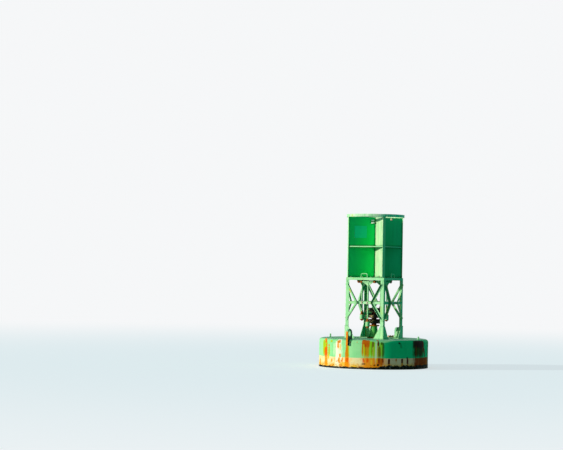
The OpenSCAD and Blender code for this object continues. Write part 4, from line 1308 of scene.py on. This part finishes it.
# Welds that hold the tower, the deck fittings and the lifting eyes to the hull
def buildDeckWelds(shape):
    draw = random.Random(11)
    pads, feet, rings, fittings, eyes = [bmesh.new() for _ in range(5)]
    near, far = towerHalf - shape["padReach"], padHigh.x
    square = ((near, near), (far, near), (far, far), (near, far))
    for quarter in range(4):
        addBead(pads, [turned((x, y, deckHeight), quarter) for x, y in square], draw, closed=True)
    finishMesh("pad_welds", pads, towerPaint)
    foot, outer = towerHalf - shape["gussetWidth"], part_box("foot_gussets")[1].x
    flange = towerHalf - legFlange
    lines = (((foot, outer, padHigh.z), (outer, outer, padHigh.z)),
             ((flange, outer, shape["gussetTop"]), (outer, outer, shape["gussetTop"])),
             ((towerHalf, flange, shape["legTop"]), (towerHalf, towerHalf, shape["legTop"])))
    for quarter in range(4):
        for line in lines:
            addBead(feet, [turned(end, quarter) for end in line], draw)
        for line in lines[:2]:
            addBead(feet, [turned((y, x, z), quarter) for x, y, z in line], draw)
    finishMesh("gusset_welds", feet, towerPaint)
    for rise, radius in shape["pedestalRings"]:
        addBead(rings, circlePath((0, 0, deckHeight + rise), radius), draw, closed=True)
    finishMesh("pedestal_welds", rings, pedestalPaint)
    lid = circlePath((coverMiddle.x, coverMiddle.y, deckHeight), shape["coverRing"])
    addBead(fittings, lid, draw, closed=True)
    for side in (-1, 1):
        middle = (side * (plugHigh.x - shape["plugRadius"]), 0, deckHeight)
        addBead(fittings, circlePath(middle, shape["plugRing"], 30), draw, closed=True)
    finishMesh("fitting_welds", fittings, towerPaint)
    for end in (-1, 1):
        for side in (-1, 1):
            addBead(eyes, cheekPath(shape, side, end), draw, 1.1)
        edges = (-shape["eyeEdge"], shape["eyeEdge"])
        addBead(eyes, [(x, end * (hullRadius + 0.001), shape["eyeFoot"]) for x in edges], draw)
    finishMesh("eye_welds", eyes, eyePaint)


topWelds = {
    "size": 0.7,
    "gap": 0.0035,  # from a plate's middle to the bead
    "stitch": 0.045,
    "stitches": 8,
    "pitch": 0.19,
    "innerStart": 0.06,
    "outerStart": 0.10,
    "floorStitch": 0.04,
    "floorStitches": 5,
    "floorPitch": 0.14,
    "floorStart": 0.06,
    "postHalf": 0.035,
    "hoopStitch": 0.034,
    "handleFeet": (-0.108, 0.064),
    "handleInset": 0.011,
    "handleRing": 0.0125,
}


# Stitch welds of the reflector plates, and the seats of the posts and the handles
def buildTopWelds(shape):
    draw = random.Random(12)
    plates, seats = bmesh.new(), bmesh.new()
    gap, stitch, size = shape["gap"], shape["stitch"], shape["size"]
    rises = [floorHigh.z + k * shape["pitch"] for k in range(shape["stitches"])]
    for quarter in range(4):
        corner = turned((0, -gap - 0.002, 0), quarter)
        for rise in rises:
            addStitch(plates, corner, rise + shape["innerStart"], stitch, draw, size)
        out, across = diagonal(quarter)
        for side in (-1, 1):
            offset = across * side * gap
            for rise in rises:
                place = out * (postFace - 0.001) + offset
                addStitch(plates, place, rise + shape["outerStart"], stitch, draw, size)
            for k in range(shape["floorStitches"]):
                start = out * (shape["floorStart"] + k * shape["floorPitch"]) + offset + upBy(floorHigh.z)
                addBead(plates, [start, start + out * shape["floorStitch"]], draw, size)
    finishMesh("plate_welds", plates, reflectorPaint)
    for quarter in range(4):
        out, across = diagonal(quarter)
        inner, outer = out * postFace, out * (postFace + postThickness)
        half = across * shape["postHalf"]
        for side in (-1, 1):
            addStitch(seats, outer + half * side, hoopLow.z, shape["hoopStitch"], draw, 0.8)
        square = [inner - half, outer - half, outer + half, inner + half]
        addBead(seats, [corner + upBy(frameTop) for corner in square], draw, size, closed=True)
        for x in shape["handleFeet"]:
            foot = turned((x, shape["handleInset"] - towerHalf, frameTop), quarter)
            addBead(seats, circlePath(foot, shape["handleRing"], 20), draw, size, closed=True)
    finishMesh("seat_welds", seats, towerPaint)


kneeWelds = {
    "slopes": (1.7083, -1.4472),  # of the upper and the lower brace's edge
    "elbow": 0.184,
    "lap": 0.06,
    "lapProud": 0.0046,
    "barLap": 0.03,
    "proud": 0.0005,
    "frameFlange": 0.064,
}


# Welds where the knees lap on the legs and where the bars meet them
def buildKneeWelds(shape):
    draw = random.Random(13)
    work = bmesh.new()
    edge = towerHalf - legFlange
    face = -towerHalf - shape["proud"]
    knee = -towerHalf - shape["lapProud"]
    lines = []  # each with its bead size
    for slope in shape["slopes"]:
        ends = (edge, edge + shape["lap"])
        lines.append(([(x, knee, barMiddle + (x - shape["elbow"]) * slope) for x in ends], 0.8))
    for z in (barLow.z, barHigh.z):
        lines.append((((edge, -towerHalf, z), (edge - shape["barLap"], -towerHalf, z)), 0.6))
    lines.append((((edge, face, barLow.z), (edge, face, barHigh.z)), 0.7))
    under = frameTop - shape["frameFlange"]
    lines.append((((edge, face, under), (towerHalf, face, under)), 0.7))
    for quarter in range(4):
        for side in (-1, 1):
            for line, size in lines:
                addBead(work, [turned((side * x, y, z), quarter) for x, y, z in line], draw, size)
    finishMesh("knee_welds", work, towerPaint)


buildDeckWelds(deckWelds)
buildTopWelds(topWelds)
buildKneeWelds(kneeWelds)
print("welds laid")

cleatShape = {
    "width": 0.063,
    "height": 0.032,
    "corner": 0.006,
    "chamfer": 0.003,
    "depth": 0.044,  # at the thin side
    "rise": 0.031,  # more at the thick side
    "reach": 0.086,
    "heights": (3.690, 3.629),
    "boltSize": 0.016,
    "boltSpin": 0.3,
}
domeShape = {"reach": 0.42, "height": 3.725, "radius": 0.024, "skirt": 0.0045}


# Two pale wedge cleats in the corner of the long plate, and one domed bolt on its other half
def buildPlateFittings(cleat, dome):
    work = bmesh.new()
    out = Vector((-1, -1, 0)).normalized()
    facing = Vector((1, -1, 0)).normalized()
    corner = cleat["corner"]
    for z in cleat["heights"]:
        middle = out * cleat["reach"] + facing * 0.002 + upBy(z)
        rings = []
        for depth, inset in ((0.0, 0.0), (0.94, 0.0), (1.0, cleat["chamfer"])):
            half, tall = cleat["width"] / 2 - inset, cleat["height"] / 2 - inset
            ring = []
            for sx, sz, turn in ((1, 1, 0), (-1, 1, 90), (-1, -1, 180), (1, -1, 270)):
                for k in range(4):
                    angle = math.radians(turn + 30 * k)
                    side = sx * (half - corner) + corner * math.cos(angle)
                    lift = cleat["depth"] + cleat["rise"] * (0.5 - side / cleat["width"])
                    rise = upBy(sz * (tall - corner) + corner * math.sin(angle))
                    ring.append(middle + facing * lift * depth + out * side + rise)
            rings.append(ring)
        skinRings(work, rings)
        tilt = (facing * cleat["width"] + out * cleat["rise"]).normalized()
        place = middle + facing * (cleat["depth"] + cleat["rise"] / 2 - 0.001)
        addBolt(work, place, tilt, cleat["boltSize"], cleat["boltSpin"])
    bmesh.ops.recalc_face_normals(work, faces=work.faces)
    finishMesh("plate_cleats", work, palePaint, smooth=False)
    single = bmesh.new()
    radius, skirt = dome["radius"], dome["skirt"]
    profile = [(0, radius * 1.25), (0.003, radius * 1.25), (0.004, radius * 1.15), (skirt, radius)]
    for degrees in (20, 40, 60, 78):
        turn = math.radians(degrees)
        profile.append((skirt + radius * math.sin(turn), radius * math.cos(turn)))
    addTurned(single, facing * 0.0025 - out * dome["reach"] + upBy(dome["height"]), facing, profile)
    finishMesh("plate_bolt", single, creamPaint)


buildPlateFittings(cleatShape, domeShape)

pinShape = {
    "z": 2.145,
    "reach": 0.35,
    "washerAt": 0.2075,
    "washer": ((0, 0.027), (0.004, 0.027), (0.005, 0.026)),
    "cotterAt": 0.2155,
    "cotterLength": 0.052,
    "cotterWire": 0.00196,
    "cotterGap": 0.0012,
    "cotterSpread": 0.008,
    "cotterEye": 0.005,
}


# Washers and split pins that keep the pivot pins in their lugs
def buildPinKeepers(shape):
    work = bmesh.new()
    wire, length, eyeRadius = shape["cotterWire"], shape["cotterLength"], shape["cotterEye"]
    for quarter in range(4):
        for side in (-1, 1):
            outward = turned((side, 0, 0), quarter)
            seat = turned((side * shape["washerAt"], -shape["reach"], shape["z"]), quarter)
            addTurned(work, seat, outward, shape["washer"])
            middle = turned((side * shape["cotterAt"], -shape["reach"], shape["z"]), quarter)
            for split in (-1, 1):
                path = []
                for share in [i / 8 for i in range(9)]:
                    bend = shape["cotterSpread"] * split * max(0.0, share - 0.7) / 0.3
                    spot = outward * (bend + split * shape["cotterGap"])
                    path.append(middle + spot + upBy(length * (0.5 - share)))
                addTube(work, path, [wire] * len(path))
            across = outward.cross(up)
            centre = middle + upBy(length / 2 + 0.003)
            turns = [math.tau * i / 12 for i in range(12)]
            eye = [centre + across * eyeRadius * math.cos(turn) + upBy(eyeRadius * math.sin(turn))
                   for turn in turns]
            addTube(work, eye, [wire] * len(eye), closed=True)
    bmesh.ops.recalc_face_normals(work, faces=work.faces)
    finishMesh("pin_keepers", work, rustyIron)


splitShape = {"places": (-0.034, -0.02, 0.0, 0.02, 0.029, 0.038), "gap": 0.0015, "spread": 0.01,
              "wire": 0.0028, "drop": 0.006}


# The split pin through the top of the gong spindle, its ends bent apart
def buildSplitPin(shape):
    work = bmesh.new()
    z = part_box("gong_spindle")[1].z - shape["drop"]
    bendFrom, bendTo = shape["places"][-3], shape["places"][-1]
    for split in (-1, 1):
        path = []
        for x in shape["places"]:
            bend = shape["spread"] * max(0.0, x - bendFrom) / (bendTo - bendFrom)
            path.append(Vector((x, split * (shape["gap"] + bend), z)))
        addTube(work, path, [shape["wire"]] * len(path))
    finishMesh("spindle_split_pin", work, rustyIron)


buildPinKeepers(pinShape)
buildSplitPin(splitShape)

# Turned profiles are (level, radius) pairs
tapperShape = {
    "nutAcross": 0.062,
    "nutHeight": 0.022,
    "upperWasher": ((0, 0.028), (0.003, 0.028), (0.004, 0.026)),
    "lowerWasher": ((0, 0.032), (0.004, 0.032), (0.005, 0.030)),
    "lowerNut": ((0, 0.024), (0.011, 0.024), (0.014, 0.020)),
    "nipple": ((0, 0.008), (0.006, 0.008), (0.007, 0.005), (0.013, 0.0035), (0.014, 0.005), (0.017, 0.004),
               (0.018, 0.002)),
    "nippleAt": (0.05, 0.028),  # along the sleeve and out from its middle
    "sleeveWeld": (0.149, 0.03, 0.007, 0.029),  # from, to, out, down
    "webWeld": (0.0205, 0.004, 0.034, 0.104),  # aside, out, from and to below the pin
}


# Lock nut above each head, a nut below it, welds on sleeve and web, and a grease nipple
def buildTapperFittings(shape):
    draw = random.Random(21)
    corner, tall = shape["nutAcross"] / math.sqrt(3), shape["nutHeight"]
    nut = ((0, corner * 0.9), (0.002, corner), (tall - 0.003, corner), (tall, corner * 0.88))
    pinReach, pinHeight = pinShape["reach"], pinShape["z"]
    for quarter, name in enumerate(("front", "right", "back", "left")):
        low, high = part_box("tapper_head_" + name)
        x, y = (low.x + high.x) / 2, (low.y + high.y) / 2
        work, welds = bmesh.new(), bmesh.new()
        addTurned(work, (x, y, high.z - 0.001), up, nut, 6, draw.random())
        addTurned(work, (x, y, high.z + tall - 0.001), up, shape["upperWasher"])
        addTurned(work, (x, y, low.z + 0.001), down, shape["lowerWasher"])
        addTurned(work, (x, y, low.z - 0.003), down, shape["lowerNut"], 6, draw.random())
        finishMesh("tapper_nuts_" + name, work, rustyIron, "tapper_" + name, smooth=False)
        for side in (-1, 1):
            start, end, out, drop = shape["sleeveWeld"]
            addBead(welds, [turned((side * x, -pinReach - out, pinHeight - drop), quarter)
                            for x in (start, end)], draw, 0.7)
            aside, out, top, foot = shape["webWeld"]
            addBead(welds, [turned((side * aside, -pinReach - out, pinHeight - drop), quarter)
                            for drop in (top, foot)], draw, 0.7)
        along, out = shape["nippleAt"]
        nipple = turned((along, -pinReach - out, pinHeight), quarter)
        addTurned(welds, nipple, turned((0, -1, 0), quarter), shape["nipple"], 12)
        bmesh.ops.recalc_face_normals(welds, faces=welds.faces)
        paint = tapperFinish("tapper_arm_" + name)
        finishMesh("tapper_welds_" + name, welds, paint, "tapper_" + name)


buildTapperFittings(tapperShape)

plugShape = {
    "washer": ((0, 0.0205), (0.003, 0.020), (0.005, 0.017)),
    "head": ((0, 0.016), (0.014, 0.016), (0.017, 0.0136)),
    "headRise": 0.004,
    "sunk": 0.0005,
}


# Square heads on a washer for the two deck plugs
def buildPlugCaps(shape):
    work = bmesh.new()
    for side in (-1, 1):
        x = side * (plugHigh.x - deckWelds["plugRadius"])
        addTurned(work, (x, 0, plugHigh.z - shape["sunk"]), up, shape["washer"])
        addTurned(work, (x, 0, plugHigh.z + shape["headRise"]), up, shape["head"], 4, math.radians(45))
    finishMesh("plug_caps", work, towerPaint, smooth=False)


buildPlugCaps(plugShape)
print("small fittings built")

barnacleShape = {
    "count": 620,
    "size": (0.006, 0.016),
    "onSide": 0.5,
    "onCone": 0.3,
    "sideHeights": (-0.29, 0.01),
    "tailHeights": (-1.7, -0.8),
    "coneRadii": (1.30, 0.34),
    "coneRun": (0.4, 1.0515),  # the cone's fall and run
    "coneSlope": 0.38,
    "lean": 0.25,
    "sunk": 0.002,
    "profile": ((0, 1.0), (0.5, 0.75), (1.0, 0.42), (0.7, 0.24)),
}


# Barnacles below the waterline, on the hull side, the cone and the tail tube
def buildBarnacles(shape):
    draw = random.Random(31)
    work = bmesh.new()
    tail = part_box("tail_tube")[1].x
    sunk, lean = shape["sunk"], shape["lean"]
    slope = math.atan2(*shape["coneRun"])
    outerCone, innerCone = shape["coneRadii"]
    placed = 0
    while placed < shape["count"]:
        turn = draw.uniform(0, math.tau)
        size = draw.uniform(*shape["size"])
        kind = draw.random()
        outward = compass(turn)
        if kind < shape["onSide"]:
            spot = outward * (hullRadius - sunk) + upBy(draw.uniform(*shape["sideHeights"]))
            if abs(spot.x) + size > hullRadius - sunk:
                continue
        elif kind < shape["onSide"] + shape["onCone"]:
            radius = outerCone - draw.uniform(0.04, 0.95) * (outerCone - innerCone)
            z = hullShape["sideEnd"] - (hullRadius - radius) * shape["coneSlope"]
            spot = compass(turn, radius, z + sunk)
            outward = compass(turn, math.sin(slope), -math.cos(slope))
        else:
            spot = outward * (tail - sunk) + upBy(draw.uniform(*shape["tailHeights"]))
        placed += 1
        tall = size * draw.uniform(0.6, 1.0)
        tilt = Vector([draw.uniform(-lean, lean) for _ in range(3)])
        profile = [(tall * level, size * radius) for level, radius in shape["profile"]]
        addTurned(work, spot, outward + tilt, profile, 7, draw.random())
    finishMesh("barnacles", work, fouledSteel, smooth=False)


weedShape = {
    "count": 900,
    "length": 0.06,
    "lengths": (0.6, 2.2),  # shares of the length
    "width": 0.0045,
    "widths": (0.6, 1.3),
    "tops": (-0.12, 0.02),
    "drift": 0.035,
    "bulge": 0.004,
    "clearAngle": 7.0,  # degrees kept bare at the widest places
}


# Short weed that hangs from the waterline in flat blades
def buildWeedFringe(shape):
    draw = random.Random(32)
    work = bmesh.new()
    for i in range(shape["count"]):
        turn = math.tau * (i + draw.uniform(-0.4, 0.4)) / shape["count"]
        degrees = math.degrees(turn) % 180
        if degrees < shape["clearAngle"] or degrees > 180 - shape["clearAngle"]:
            continue
        outward = compass(turn)
        across = Vector((-outward.y, outward.x, 0))
        top = draw.uniform(*shape["tops"])
        length = shape["length"] * draw.uniform(*shape["lengths"])
        width = shape["width"] * draw.uniform(*shape["widths"])
        drift = draw.uniform(-shape["drift"], shape["drift"])
        rings = []
        for share in (0.0, 0.25, 0.5, 0.75, 1.0):
            middle = outward * (hullRadius + 0.0005 + shape["bulge"] * math.sin(math.pi * share))
            middle = middle + across * drift * share + upBy(top - length * share)
            half = width * (0.5 + 0.5 * math.sin(math.pi * min(1.0, share + 0.25))) * (1 - 0.8 * share)
            rings.append([middle + across * half, middle + outward * 0.002, middle - across * half,
                          middle - outward * 0.001])
        skinRings(work, rings)
    bmesh.ops.recalc_face_normals(work, faces=work.faces)
    finishMesh("weed_fringe", work, weedGreen)


buildBarnacles(barnacleShape)
buildWeedFringe(weedShape)
print("growth below the waterline built")

stage = {
    "floorSize": 220,
    "floorColor": (0.42, 0.52, 0.56, 1),
    "floorGlow": 0.60,
    "background": (0.92, 0.93, 0.94, 1),
    "fadeFrom": 5,
    "fadeTo": 40,
    "fill": (0.40, 0.88, 1.0, 1),
    "fillStrength": 0.31,
    "keyElevation": 8.5,
    "keyStrength": 3.6,
    "keyColor": (1.0, 0.96, 0.86),
    "keyAngle": 2.5,
}


# What the camera sees, directly, through glass or in a reflection
def seenMask(tree):
    path = tree.nodes.new("ShaderNodeLightPath").outputs
    mirrored = calc(tree, "MAXIMUM", path["Is Glossy Ray"], path["Is Transmission Ray"])
    return calc(tree, "MAXIMUM", path["Is Camera Ray"], mirrored)


# The floor takes the shadow and fades into the background far away
def makeFloorMaterial(settings):
    material = bpy.data.materials.new("studioFloor")
    material.use_nodes = True
    tree = material.node_tree
    tree.nodes.clear()
    output = tree.nodes.new("ShaderNodeOutputMaterial")
    cloth = tree.nodes.new("ShaderNodeBsdfDiffuse")
    glow = tree.nodes.new("ShaderNodeEmission")
    far = tree.nodes.new("ShaderNodeEmission")
    added = tree.nodes.new("ShaderNodeAddShader")
    mix = tree.nodes.new("ShaderNodeMixShader")
    seen = seenMask(tree)
    feed(tree, settings["floorColor"], cloth.inputs["Color"])
    feed(tree, (1, 1, 1, 1), glow.inputs["Color"])
    feed(tree, times(tree, seen, settings["floorGlow"]), glow.inputs["Strength"])
    feed(tree, settings["background"], far.inputs["Color"])
    x, y, _ = parted(tree, tree.nodes.new("ShaderNodeTexCoord").outputs["Object"])
    fade = ramp(tree, planReach(tree, x, y), settings["fadeFrom"], settings["fadeTo"])
    feed(tree, times(tree, fade, seen), mix.inputs[0])
    feed(tree, cloth.outputs[0], added.inputs[0])
    feed(tree, glow.outputs[0], added.inputs[1])
    feed(tree, added.outputs[0], mix.inputs[1])
    feed(tree, far.outputs[0], mix.inputs[2])
    feed(tree, mix.outputs[0], output.inputs[0])
    return material


def makeWorld(settings):
    world = bpy.data.worlds.new("studioWorld")
    scene.world = world
    world.use_nodes = True
    tree = world.node_tree
    tree.nodes.clear()
    output = tree.nodes.new("ShaderNodeOutputWorld")
    sky = tree.nodes.new("ShaderNodeBackground")
    seen = seenMask(tree)
    feed(tree, mixColor(tree, seen, settings["fill"], settings["background"]), sky.inputs["Color"])
    feed(tree, ramp(tree, seen, 0.0, 1.0, settings["fillStrength"], 1.0), sky.inputs["Strength"])
    feed(tree, sky.outputs[0], output.inputs[0])


def buildStage(settings):
    half = settings["floorSize"] / 2
    work = bmesh.new()
    sides = ((-1, -1), (1, -1), (1, 1), (-1, 1))
    work.faces.new([work.verts.new((x * half, y * half, 0)) for x, y in sides])
    floor = newObject("studioFloor", work)
    floor.data.materials.append(makeFloorMaterial(settings))
    makeWorld(settings)
    lamp = bpy.data.lights.new("keyLamp", "SUN")
    lamp.energy = settings["keyStrength"]
    lamp.color = settings["keyColor"]
    lamp.angle = math.radians(settings["keyAngle"])
    holder = bpy.data.objects.new("keyLamp", lamp)
    scene.collection.objects.link(holder)
    rise = math.radians(settings["keyElevation"])
    towards = compass(math.radians(sunAzimuth), math.cos(rise), math.sin(rise))
    holder.rotation_euler = towards.to_track_quat("Z", "Y").to_euler()


buildStage(stage)
scene.view_settings.view_transform = "Standard"
print("stage lit")
